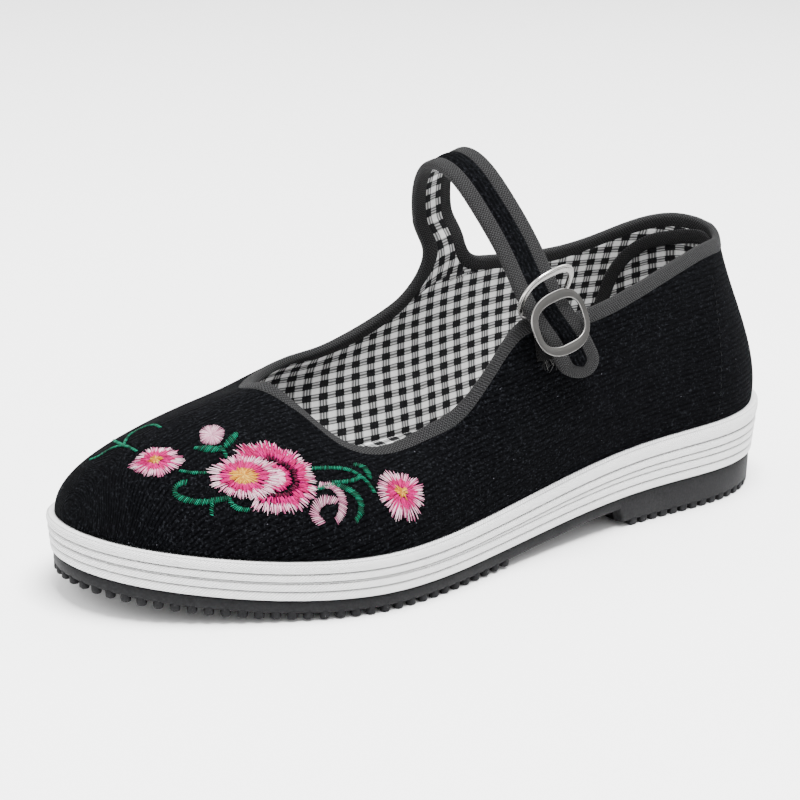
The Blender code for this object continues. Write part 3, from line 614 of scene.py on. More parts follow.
def blend_colour(tree, share, first, second):
    """Mix of two colours, each a socket or an RGB triple, by share."""
    made = tree.nodes.new("ShaderNodeMix")
    made.data_type = "RGBA"
    for socket, value in ((made.inputs[0], share), (made.inputs[6], first), (made.inputs[7], second)):
        if isinstance(value, bpy.types.NodeSocket):
            tree.links.new(value, socket)
        elif isinstance(value, tuple):
            socket.default_value = (*value, 1.0)
        else:
            socket.default_value = value
    return made.outputs[2]


def cloth_places(tree):
    """The piece's own UV in millimetres: along and across."""
    uv = add(tree, "UVMap", uv_map="cloth")
    parts = add(tree, "SeparateXYZ", {0: uv.outputs[0]})
    return parts.outputs[0], parts.outputs[1]


def wave(tree, phase):
    """Sine of a phase, brought to between 0 and 1."""
    return calc(tree, "MULTIPLY_ADD", calc(tree, "SINE", phase), 0.5, 0.5)


def noise(tree, vector, scale, detail=3.0, rough=0.6):
    """Soft noise, from 0 to 1, at the places in vector."""
    settings = {"Vector": vector, "Scale": scale, "Detail": detail, "Roughness": rough}
    return add(tree, "TexNoise", settings).outputs[0]


def object_places(tree):
    """Places on the piece in metres."""
    return add(tree, "TexCoord").outputs["Object"]


def bump(tree, shader, height, distance):
    """Relief of this height and of this depth in metres, in the shader's normal."""
    made = add(tree, "Bump", {"Height": height, "Distance": distance, "Strength": 1.0})
    tree.links.new(made.outputs[0], shader.inputs["Normal"])


def ramp(tree, value, low, high, to_low=0.0, to_high=1.0):
    """A value between low and high, brought to between to_low and to_high and held there."""
    made = add(tree, "MapRange", {0: value, 1: low, 2: high, 3: to_low, 4: to_high})
    return made.outputs[0]


# Cloth, rubber, steel and thread


def corduroy_material(name, pitch=1.55):
    """Near-black fine-wale corduroy: round ribs along the cloth, a soft pile, pale lint."""
    made, tree, shader = new_material(name)
    _, across = cloth_places(tree)
    place = object_places(tree)
    drift = calc(tree, "MULTIPLY", noise(tree, place, 60.0, 2.0), 0.5)
    phase = calc(tree, "MULTIPLY", calc(tree, "ADD", across, drift), TAU / pitch)
    rib = calc(tree, "POWER", wave(tree, phase), 0.55)
    pile = noise(tree, place, 2600.0, 3.0, 0.7)
    tufts = noise(tree, place, 700.0, 2.0, 0.6)
    worn = noise(tree, place, 28.0, 3.0, 0.5)
    tone = blend_colour(tree, rib, (0.0003, 0.0003, 0.0004), (0.0016, 0.0017, 0.0021))
    tone = blend_colour(tree, ramp(tree, worn, 0.35, 0.75, 0.0, 0.35), tone, (0.0022, 0.0023, 0.0026))
    tone = blend_colour(tree, ramp(tree, tufts, 0.5, 0.8, 0.0, 0.4), tone, (0.0045, 0.0048, 0.0056))
    grain = noise(tree, place, 1500.0, 2.0, 0.7)
    tone = blend_colour(tree, ramp(tree, grain, 0.55, 0.72, 0.0, 0.85), tone, (0.0125, 0.0135, 0.0160))
    specks = add(tree, "TexVoronoi", {"Vector": place, "Scale": 420.0}, feature="F1")
    lint = calc(tree, "LESS_THAN", specks.outputs["Distance"], 0.075)
    keep = calc(tree, "GREATER_THAN", noise(tree, place, 240.0, 1.0), 0.60)
    tone = blend_colour(tree, calc(tree, "MULTIPLY", lint, keep), tone, (0.06, 0.06, 0.07))
    tree.links.new(tone, shader.inputs["Base Color"])
    shader.inputs["Roughness"].default_value = 0.95
    shader.inputs["Specular IOR Level"].default_value = 0.01
    shader.inputs["Sheen Weight"].default_value = 0.004
    shader.inputs["Sheen Roughness"].default_value = 0.4
    shader.inputs["Sheen Tint"].default_value = (0.75, 0.80, 0.85, 1.0)
    height = calc(tree, "MULTIPLY_ADD", pile, 0.28, rib)
    height = calc(tree, "MULTIPLY_ADD", tufts, 0.30, height)
    bump(tree, shader, height, 0.00020)
    return made


def tape_material(name, base=0.007, light=0.052):
    """Charcoal woven tape: a herringbone of fine ribs that turn along its middle."""
    made, tree, shader = new_material(name)
    along, across = cloth_places(tree)
    place = object_places(tree)
    fold = calc(tree, "ABSOLUTE", calc(tree, "SUBTRACT", calc(tree, "PINGPONG", across, 1.15), 0.575))
    turned = calc(tree, "ADD", along, calc(tree, "MULTIPLY", fold, 1.4))
    slant = calc(tree, "MULTIPLY", turned, TAU / 0.90)
    rib = wave(tree, slant)
    cord = wave(tree, calc(tree, "MULTIPLY", across, TAU / 0.46))
    weave = calc(tree, "MULTIPLY", rib, calc(tree, "MULTIPLY_ADD", cord, 0.6, 0.4))
    fuzz = noise(tree, place, 1800.0, 3.0, 0.7)
    grey = blend_colour(tree, weave, (base * 0.25,) * 3, (light, light, light * 1.03))
    grey = blend_colour(tree, ramp(tree, fuzz, 0.35, 0.75, 0.0, 0.5), grey, (base, base, base * 1.04))
    tree.links.new(grey, shader.inputs["Base Color"])
    shader.inputs["Roughness"].default_value = 0.85
    shader.inputs["Specular IOR Level"].default_value = 0.05
    shader.inputs["Sheen Weight"].default_value = 0.015
    bump(tree, shader, calc(tree, "MULTIPLY_ADD", fuzz, 0.35, weave), 0.00030)
    return made


def gingham_material(name):
    """Black and white checked cotton: solid squares where dark threads cross, fine stripes
    where dark meets white, and a plain weave over all."""
    made, tree, shader = new_material(name)
    along, across = cloth_places(tree)
    place = object_places(tree)
    shift = calc(tree, "MULTIPLY_ADD", noise(tree, place, 160.0, 2.0), 0.5, -0.25)
    bands, threads, weaves = [], [], []
    for value, pitch, stripes in ((along, 5.5, 6), (across, 4.1, 4)):
        value = calc(tree, "ADD", value, shift)
        turned = calc(tree, "PINGPONG", value, pitch / 2)
        bands.append(ramp(tree, turned, pitch * 0.225 - 0.12, pitch * 0.225 + 0.12))
        waves = calc(tree, "COSINE", calc(tree, "MULTIPLY", value, TAU * stripes / pitch))
        threads.append(ramp(tree, waves, -0.85, 0.15, 0.46, 1.0))
        fine = calc(tree, "SINE", calc(tree, "MULTIPLY", value, TAU / 0.40))
        weaves.append(ramp(tree, fine, -1.0, 0.4))
    both = calc(tree, "MULTIPLY", *bands)
    first = calc(tree, "MULTIPLY", bands[0], calc(tree, "SUBTRACT", 1.0, bands[1]))
    second = calc(tree, "MULTIPLY", bands[1], calc(tree, "SUBTRACT", 1.0, bands[0]))
    striped = calc(tree, "MULTIPLY", first, threads[0])
    striped = calc(tree, "MULTIPLY_ADD", second, threads[1], striped)
    dark = calc(tree, "MULTIPLY_ADD", striped, 0.88, both, clamp=True)
    fuzz = noise(tree, place, 1500.0, 3.0, 0.7)
    weave = calc(tree, "MULTIPLY", *weaves)
    white = blend_colour(tree, ramp(tree, fuzz, 0.3, 0.8), (0.78, 0.78, 0.775), (0.96, 0.96, 0.95))
    white = blend_colour(tree, ramp(tree, weave, 0.0, 0.6, 0.24, 0.0), white, (0.34, 0.34, 0.34))
    faded = ramp(tree, fuzz, 0.35, 0.85)
    black = blend_colour(tree, faded, (0.0025, 0.0025, 0.003), (0.016, 0.016, 0.018))
    tree.links.new(blend_colour(tree, dark, white, black), shader.inputs["Base Color"])
    shader.inputs["Roughness"].default_value = 0.9
    shader.inputs["Specular IOR Level"].default_value = 0.12
    bump(tree, shader, calc(tree, "MULTIPLY_ADD", fuzz, 0.6, weave), 0.00012)
    return made


def white_sole_material():
    """Off-white midsole: fine slanting twill pressed into the bands, and painted shade that darkens the
    grooves.
    """
    made, tree, shader = new_material("white_sole")
    along, across = cloth_places(tree)
    place = object_places(tree)
    slant = calc(tree, "MULTIPLY", calc(tree, "ADD", along, across), TAU / 1.0)
    twill = wave(tree, slant)
    grain = noise(tree, place, 1100.0, 3.0, 0.65)
    soil = noise(tree, place, 30.0, 4.0, 0.6)
    white = blend_colour(tree, twill, (0.55, 0.55, 0.55), (0.80, 0.80, 0.795))
    white = blend_colour(tree, ramp(tree, grain, 0.4, 0.75, 0.0, 0.35), white, (0.46, 0.46, 0.46))
    white = blend_colour(tree, ramp(tree, soil, 0.5, 0.8, 0.0, 0.25), white, (0.62, 0.62, 0.60))
    painted_groove_shade = add(tree, "Attribute", attribute_name="painted_groove_shade").outputs["Fac"]
    # painted shade: the grooves between the bands are mixed nearly to black
    white = blend_colour(tree, calc(tree, "MULTIPLY", painted_groove_shade, 0.95), white, (0.09, 0.09, 0.09))
    tree.links.new(white, shader.inputs["Base Color"])
    shader.inputs["Roughness"].default_value = 0.7
    shader.inputs["Specular IOR Level"].default_value = 0.3
    bump(tree, shader, calc(tree, "MULTIPLY_ADD", grain, 0.8, twill), 0.00022)
    return made


def rubber_material():
    """Charcoal moulded rubber with a fine grain and dusty patches."""
    made, tree, shader = new_material("dark_rubber")
    place = object_places(tree)
    grain = noise(tree, place, 1500.0, 3.0, 0.7)
    dust = noise(tree, place, 45.0, 4.0, 0.6)
    specks = ramp(tree, grain, 0.35, 0.7)
    grey = blend_colour(tree, specks, (0.005, 0.005, 0.0055), (0.012, 0.012, 0.013))
    grey = blend_colour(tree, ramp(tree, dust, 0.5, 0.85, 0.0, 0.4), grey, (0.022, 0.022, 0.023))
    tree.links.new(grey, shader.inputs["Base Color"])
    tree.links.new(ramp(tree, dust, 0.3, 0.8, 0.55, 0.75), shader.inputs["Roughness"])
    shader.inputs["Specular IOR Level"].default_value = 0.10
    bump(tree, shader, grain, 0.00010)
    return made


def steel_material(name, grey, roughness):
    """Plated stamped steel with fine scratches, and a painted highlight on the rolled rims."""
    made, tree, shader = new_material(name)
    place = object_places(tree)
    stretched = add(tree, "Mapping", {"Vector": place, "Scale": (1.0, 1.0, 9.0)}).outputs[0]
    scratches = noise(tree, stretched, 900.0, 4.0, 0.7)
    cloud = noise(tree, place, 220.0, 3.0, 0.5)
    dark = (grey * 0.80, grey * 0.78, grey * 0.75)
    tone = blend_colour(tree, scratches, dark, (grey, grey * 0.98, grey * 0.95))
    # painted highlight: where the rim share is high, the colour goes to bright steel
    rim = calc(tree, "POWER", add(tree, "Attribute", attribute_name="rim").outputs["Fac"], 1.5)
    tree.links.new(blend_colour(tree, rim, tone, (0.55, 0.54, 0.52)), shader.inputs["Base Color"])
    shader.inputs["Metallic"].default_value = 1.0
    rough = ramp(tree, cloud, 0.3, 0.7, roughness * 0.8, roughness * 1.25)
    tree.links.new(calc(tree, "MULTIPLY_ADD", rim, -0.5 * roughness, rough), shader.inputs["Roughness"])
    bump(tree, shader, scratches, 0.00002)
    return made


def silk_material():
    """Glossy sewing thread whose colour comes with each stitch."""
    made, tree, shader = new_material("embroidery_silk")
    colour = add(tree, "Attribute", attribute_name="thread_colour").outputs["Color"]
    fuzz = noise(tree, object_places(tree), 2200.0, 2.0, 0.6)
    dull = blend_colour(tree, ramp(tree, fuzz, 0.35, 0.75, 0.0, 0.35), colour, (0.02, 0.02, 0.02))
    tree.links.new(dull, shader.inputs["Base Color"])
    shader.inputs["Roughness"].default_value = 0.5
    shader.inputs["Specular IOR Level"].default_value = 0.06
    return made


# Cloth coordinates of the upper


TURNS = np.linspace(0, TAU, 721)
MAP_ROWS = 61


def make_cloth_map():
    """How far up from the sole, and how far from the centre line, each place of the wall is.
    In each cross-section of constant x the length is walked from the sole up along the wall,
    then on to the centre line in front of the throat. Returned as tables over x and row."""
    lines = wall_lines(TURNS, MAP_ROWS)
    xs = np.linspace(lines[..., 0].min(), lines[..., 0].max(), 320)
    half = len(TURNS) // 2
    tables = []
    for part in (slice(0, half + 1), slice(None, half - 1, -1)):
        side = lines[:, part]
        section = np.stack([
            np.stack([np.interp(xs, row[:, 0], row[:, axis]) for row in side]) for axis in (1, 2)
        ], 2)
        toe = side[:, -1]
        reach = side[:, -1, 0][:, None]
        middle = np.stack([np.interp(xs, toe[::-1, 0], toe[::-1, axis]) for axis in (1, 2)], 1)
        section = np.where((xs > reach)[..., None], middle, section)
        steps = np.linalg.norm(np.diff(section, axis=0), axis=2)
        tables.append(np.vstack([np.zeros(len(xs)), np.cumsum(steps, axis=0)]))
    throat = lines[-1, half, 0]
    return xs, tables, throat


MAP_X, MAP_TABLES, THROAT_X = make_cloth_map()


def widths_to_centre(total):
    """Length from the sole to the centre line at each x. Behind the throat, where there is no
    centre line, its slope dies away; the slope is smoothed so that no wale has a kink."""
    step = MAP_X[1] - MAP_X[0]
    slope = np.gradient(total, step)
    first = np.searchsorted(MAP_X, THROAT_X) + 2
    edge = slope[first : first + 14].mean()
    slope[:first] = edge * np.exp((MAP_X[:first] - MAP_X[first]) / WALE_FADE)
    reach = int(WALE_BLEND / step)
    weight = np.exp(-((np.arange(-2 * reach, 2 * reach + 1) / reach) ** 2))
    slope = np.convolve(np.pad(slope, 2 * reach, mode="edge"), weight / weight.sum(), "valid")
    gone = np.append(0, np.cumsum(slope[:-1] * step))
    anchor = first + 60
    return gone + total[anchor] - gone[anchor]


def cloth_place(turn, up, points):
    """UV of the cloth in millimetres: along the shoe, and across it counted so that a wale
    keeps its number: from the centre line over the toe, and up from the sole on the sides."""
    turn = np.mod(turn, TAU)
    row = up * (MAP_ROWS - 1)
    low = np.clip(row.astype(int), 0, MAP_ROWS - 2)
    spot = np.interp(points[:, 0], MAP_X, np.arange(len(MAP_X)))
    cell = np.clip(spot.astype(int), 0, len(MAP_X) - 2)
    across = np.empty(len(points))
    height = np.empty(len(points))
    for k, table in enumerate(MAP_TABLES):
        mine = (turn > math.pi) == bool(k)
        r, c = low[mine], cell[mine]
        fr, fc = row[mine] - r, spot[mine] - c
        rose = (table[r, c] * (1 - fr) + table[r + 1, c] * fr) * (1 - fc)
        rose += (table[r, c + 1] * (1 - fr) + table[r + 1, c + 1] * fr) * fc
        whole = widths_to_centre(table[-1])
        across[mine] = np.interp(points[mine, 0], MAP_X, whole) - rose
        height[mine] = rose
    return across / MM, height / MM


MID_LINE = wall(TURNS, np.full(len(TURNS), 0.5))
MID_WALKED = walked(MID_LINE)


def along_cloth(turn):
    """Length in millimetres along the wall's middle line up to each angle."""
    return np.interp(np.mod(turn, TAU), TURNS, MID_WALKED) / MM


def along_by_x(turn, x):
    """Length along the shoe of a place of the lining, in millimetres: that of the wall's
    middle line at the same x, so that the checks stand upright."""
    half = len(TURNS) // 2
    outer = np.interp(x, MID_LINE[: half + 1, 0], MID_WALKED[: half + 1])
    inner = np.interp(x, MID_LINE[half:, 0][::-1], MID_WALKED[half:][::-1])
    return np.where(np.mod(turn, TAU) < math.pi, outer, inner) / MM


# Upper and lining


HEEL_PATCH = (
    # degrees from the heel's back line, share up the wall
    (53.0, 0.02),
    (49.0, 0.30),
    (47.4, 0.52),
    (46.4, 0.70),
    (43.5, 0.80),
    (38.0, 0.85),
    (30.0, 0.868),
    (19.0, 0.893),
    (7.0, 0.908),
    (0.0, 0.910),
)


def in_heel_patch(turn, up):
    """True for the places of the lining that the second layer at the heel covers."""
    away = np.degrees(np.minimum(np.mod(turn, TAU), TAU - np.mod(turn, TAU)))
    ways, ups = np.array(HEEL_PATCH).T
    return up < np.interp(away, ways[::-1], ups[::-1], right=-1)


def shell(
    name, depth_out, depth_in, stations, rows, top_trim, material, by_height, replaced=()
):
    """A closed shell between two depths inside the wall's outer surface: rows go up the outer
    face and down the inner one. UV runs along the shoe and across the cloth, which is either
    counted from the centre line, for wales, or by height, for upright checks."""
    turn = even_turns(stations, FEATHER_INSET)
    depths = top_trim + np.linspace(1, 0, rows)[:, None] * (wall_length(turn) - top_trim)
    outer, normals = from_collar(turn, depths)
    flat = normals[0].copy()
    flat[:, 2] = 0
    normals[0] = unit(flat)
    turns, ups, points = np.tile(turn, rows), ups_from_collar(turn, depths).ravel(), outer.reshape(-1, 3)
    across, height = cloth_place(turns, ups, points)
    if by_height:
        uv = np.column_stack([along_by_x(turns, points[:, 0]), height])
        patch = in_heel_patch(turns, ups)
        cos, sin = math.cos(PATCH_TURN), math.sin(PATCH_TURN)
        uv[patch] = uv[patch] @ np.array([[cos, -sin], [sin, cos]]) + PATCH_SHIFT
        uv = uv.reshape(rows, stations, 2)
        seam = uv[:, :1]
    else:
        uv = np.stack([np.tile(along_cloth(turn), (rows, 1)), across.reshape(rows, stations)], 2)
        seam = uv[:, :1] + np.array([MID_WALKED[-1] / MM, 0.0])
    uv = np.concatenate([uv, seam], 1)
    rings = np.concatenate([outer - normals * depth_out, (outer - normals * depth_in)[::-1]])
    uv = np.concatenate([uv, uv[::-1], uv[:1]])
    return tube_piece(name, rings, uv, material, replaced)


def heel_patch_tape(material):
    """The tape that borders the heel's second layer, flat on the lining: up one side, round
    under the collar and down the other. A flat oval is carried along a cubic curve through
    the layer's corners, square to the wall."""
    ways, ups = np.radians(np.array(HEEL_PATCH)[:, 0]), np.array(HEEL_PATCH)[:, 1]
    path = np.column_stack([np.append(ways, -ways[-2::-1]), np.append(ups, ups[-2::-1])])
    rough = wall(path[:, 0], path[:, 1])
    fine = spline(walked(rough), path)(np.linspace(0, walked(rough)[-1], 170))
    points, facing = wall(fine[:, 0], fine[:, 1]), wall_facing(fine[:, 0], fine[:, 1])
    way = unit(np.gradient(points, axis=0))
    side = np.cross(facing, way)
    across, out = oval_section(5.2 * MM, 1.0 * MM, 16, 3.0)
    middle = points - facing * (WALL + 0.35 * MM)
    rings = np.stack([middle + side * a - facing * o for a, o in zip(across, out)], 1)
    gone = walked(points) / MM
    section = np.append(across, across[0]) / MM
    uv = np.stack(np.broadcast_arrays(gone[:, None], section[None, :]), 2)
    return capped_piece("heel_patch_tape", rings, uv, material)


# Sewn flowers


PALE = ((0.50, 0.20, 0.30), (0.58, 0.34, 0.42), (0.44, 0.10, 0.21), (0.60, 0.46, 0.50))
ROSE = ((0.31, 0.0, 0.075), (0.25, 0.0, 0.052), (0.37, 0.0, 0.100), (0.43, 0.004, 0.140))
DEEP = ((0.06, 0.001, 0.014), (0.11, 0.001, 0.026), (0.025, 0.001, 0.008))
GOLD = ((0.44, 0.19, 0.012), (0.50, 0.29, 0.045), (0.32, 0.11, 0.008))
SEAM = ((0.0060, 0.0064, 0.0070), (0.0035, 0.0038, 0.0042))
FRAY = ((0.055, 0.055, 0.055), (0.02, 0.02, 0.02), (0.11, 0.11, 0.105))
LEAF = ((0.001, 0.080, 0.040), (0.002, 0.13, 0.072), (0.001, 0.036, 0.019))
BLUSH = ((0.40, 0.17, 0.25), (0.50, 0.30, 0.36), (0.30, 0.10, 0.17))

PEONY_FRONT = (
    # degrees round the blossom's middle, reach in mm
    (-164, 9.0), (-148, 7.6), (-131, 6.6), (-104, 6.1), (-78, 6.2), (-60, 7.4), (-42, 8.6),
    (-21, 10.8), (-8, 11.2), (4, 11.6), (16, 11.0), (30, 8.8), (47, 7.6), (68, 6.5), (90, 6.4),
    (112, 6.3), (137, 7.2), (155, 8.0), (168, 9.4), (180, 8.6),
)
PEONY_BACK = (
    (-160, 8.0), (-135, 9.8), (-122, 11.2), (-110, 10.9), (-97, 10.0), (-84, 10.4), (-68, 10.6),
    (-55, 12.0), (-45, 11.6), (-34, 11.2), (-24, 12.6), (-10, 12.2), (3, 11.2), (14, 11.6),
    (26, 11.6), (36, 10.2), (50, 10.6), (62, 9.8), (74, 9.2), (88, 10.6), (103, 11.6),
    (118, 11.4), (128, 12.6), (141, 13.6), (158, 10.0),
)
SMALL_LEFT = (
    (-180, 6.8), (-165, 7.8), (-148, 6.4), (-128, 5.4), (-112, 5.7), (-92, 4.6), (-74, 5.8),
    (-52, 5.6), (-30, 6.0), (-12, 7.6), (4, 8.0), (20, 6.6), (40, 6.2), (58, 6.0), (78, 4.6),
    (98, 5.0), (118, 5.8), (136, 5.6), (156, 6.4), (170, 6.0),
)
SMALL_RIGHT = (
    (-176, 6.8), (-160, 7.6), (-140, 6.6), (-122, 7.8), (-104, 8.6), (-90, 7.4), (-72, 8.4),
    (-52, 8.0), (-36, 7.0), (-18, 7.8), (0, 7.2), (18, 7.9), (36, 7.6), (54, 6.6), (72, 7.2),
    (90, 6.6), (106, 7.9), (124, 7.6), (140, 6.6), (160, 7.2),
)
BUD = (
    (-170, 3.2), (-120, 3.8), (-80, 3.5), (-40, 3.4), (0, 3.3), (45, 3.9), (90, 4.4), (140, 4.2),
    (165, 3.5),
)
EVERYWHERE = (-180, 180)
FRONT = (0.0, 0.0)
BACK = (8.8, 0.0)
FRONT_EYE = (0.6, 0.2)

# Rings of stitches: middle in mm, reaches, degrees they span, from and to which share of the
# reach, how many, how high in mm, colours and how uneven
PEONY_RINGS = (
    (BACK, PEONY_BACK, (-150, 160), 0.72, 0.98, 170, 0.02, PALE, 0.07),
    (BACK, PEONY_BACK, (-60, 155), 0.60, 0.84, 120, 0.16, ROSE, 0.09),
    (BACK, PEONY_BACK, (-150, 158), 0.56, 0.78, 150, 0.12, ROSE, 0.06),
    (BACK, PEONY_BACK, (60, 150), 0.72, 0.93, 50, 0.20, ROSE, 0.08),
    (BACK, PEONY_BACK, (-110, 150), 0.45, 0.57, 90, 0.06, DEEP, 0.03),
    (BACK, PEONY_BACK, (-150, 120), 0.24, 0.39, 100, 0.10, ROSE, 0.04),
    (BACK, PEONY_BACK, (-150, 60), 0.04, 0.28, 90, 0.14, PALE, 0.05),
    (FRONT, PEONY_FRONT, EVERYWHERE, 0.60, 1.00, 135, 0.26, PALE, 0.09),
    (FRONT, PEONY_FRONT, EVERYWHERE, 0.26, 0.74, 130, 0.40, ROSE, 0.10),
    (FRONT, PEONY_FRONT, (-60, 50), 0.60, 0.88, 30, 0.42, PALE, 0.08),
    (FRONT, PEONY_FRONT, EVERYWHERE, 0.10, 0.40, 64, 0.50, GOLD, 0.10),
    (FRONT_EYE, PEONY_FRONT, EVERYWHERE, 0.00, 0.26, 44, 0.56, GOLD, 0.08),
)
SMALL_RINGS = (
    (EVERYWHERE, 0.34, 0.98, 112, 0.04, PALE, 0.08),
    (EVERYWHERE, 0.30, 0.70, 84, 0.24, ROSE, 0.13),
    (EVERYWHERE, 0.18, 0.52, 40, 0.30, ROSE, 0.08),
    (EVERYWHERE, 0.02, 0.28, 26, 0.40, GOLD, 0.12),
)
BUD_RING = (FRONT, BUD, EVERYWHERE, 0.05, 0.98, 90, 0.06, BLUSH, 0.05)

# Places of the blossoms: degrees round the shoe, share up the wall, degrees turned
PEONY_AT = (144.5, 0.428, 41.5)
LEFT_AT = (165.6, 0.386, 38.0)
RIGHT_AT = (114.8, 0.475, 22.0)
BUD_AT = (159.6, 0.565, 41.0)

# Vines, leaves and curls: half width in mm, how much they taper, colours, and places as
# degrees round the shoe and shares up the wall
VINES = (
    (0.55, 0.3, LEAF, (
        (190.6, 0.295), (187.9, 0.328), (187.8, 0.357), (186.2, 0.388), (182.8, 0.405),
        (174.5, 0.400)
    )),
    (0.50, 0.2, LEAF, ((199.1, 0.391), (193.0, 0.402), (183.3, 0.408))),
    (0.55, 0.1, LEAF, (
        (183.3, 0.408), (189.0, 0.441), (192.5, 0.472), (191.8, 0.514), (187.4, 0.537),
        (181.4, 0.535)
    )),
    (0.50, 0.1, LEAF, ((157.3, 0.372), (154.5, 0.378), (150.9, 0.401))),
    (0.95, 0.3, LEAF, (
        (153.8, 0.330), (155.0, 0.309), (154.6, 0.278), (152.8, 0.259), (150.4, 0.255),
        (148.1, 0.260), (145.9, 0.282), (143.8, 0.310)
    )),
    (0.65, 0.1, LEAF, ((146.0, 0.274), (145.6, 0.247), (144.8, 0.212))),
    (0.75, 0.2, LEAF, ((143.8, 0.314), (142.5, 0.285), (140.9, 0.270), (139.1, 0.276))),
    (0.70, 0.1, LEAF, (
        (133.5, 0.611), (131.2, 0.648), (128.4, 0.683), (125.9, 0.690), (123.6, 0.659),
        (121.7, 0.602), (119.8, 0.509)
    )),
    (1.10, 0.6, LEAF, ((125.5, 0.752), (123.6, 0.749), (122.2, 0.699), (121.4, 0.634))),
    (0.75, 0.4, LEAF, ((128.4, 0.564), (126.3, 0.583), (124.5, 0.612), (123.3, 0.650))),
    (1.05, 0.4, LEAF, (
        (130.2, 0.497), (128.1, 0.540), (125.4, 0.536), (123.3, 0.497), (121.7, 0.423),
        (121.2, 0.349), (121.5, 0.281)
    )),
    (1.25, 0.8, LEAF, ((159.8, 0.488), (156.6, 0.501), (153.2, 0.513))),
    (1.35, 0.8, LEAF, ((154.2, 0.614), (153.8, 0.576), (153.5, 0.534))),
    (0.70, 0.3, LEAF, ((154.4, 0.528), (152.5, 0.513), (150.7, 0.490))),
    (1.50, 0.3, BLUSH, (
        (126.8, 0.257), (128.5, 0.316), (128.8, 0.380), (127.8, 0.426), (125.9, 0.428)
    )),
    (1.35, 0.4, BLUSH, (
        (130.3, 0.519), (128.0, 0.530), (125.9, 0.486), (124.6, 0.401), (124.3, 0.330),
        (124.6, 0.282)
    )),
)


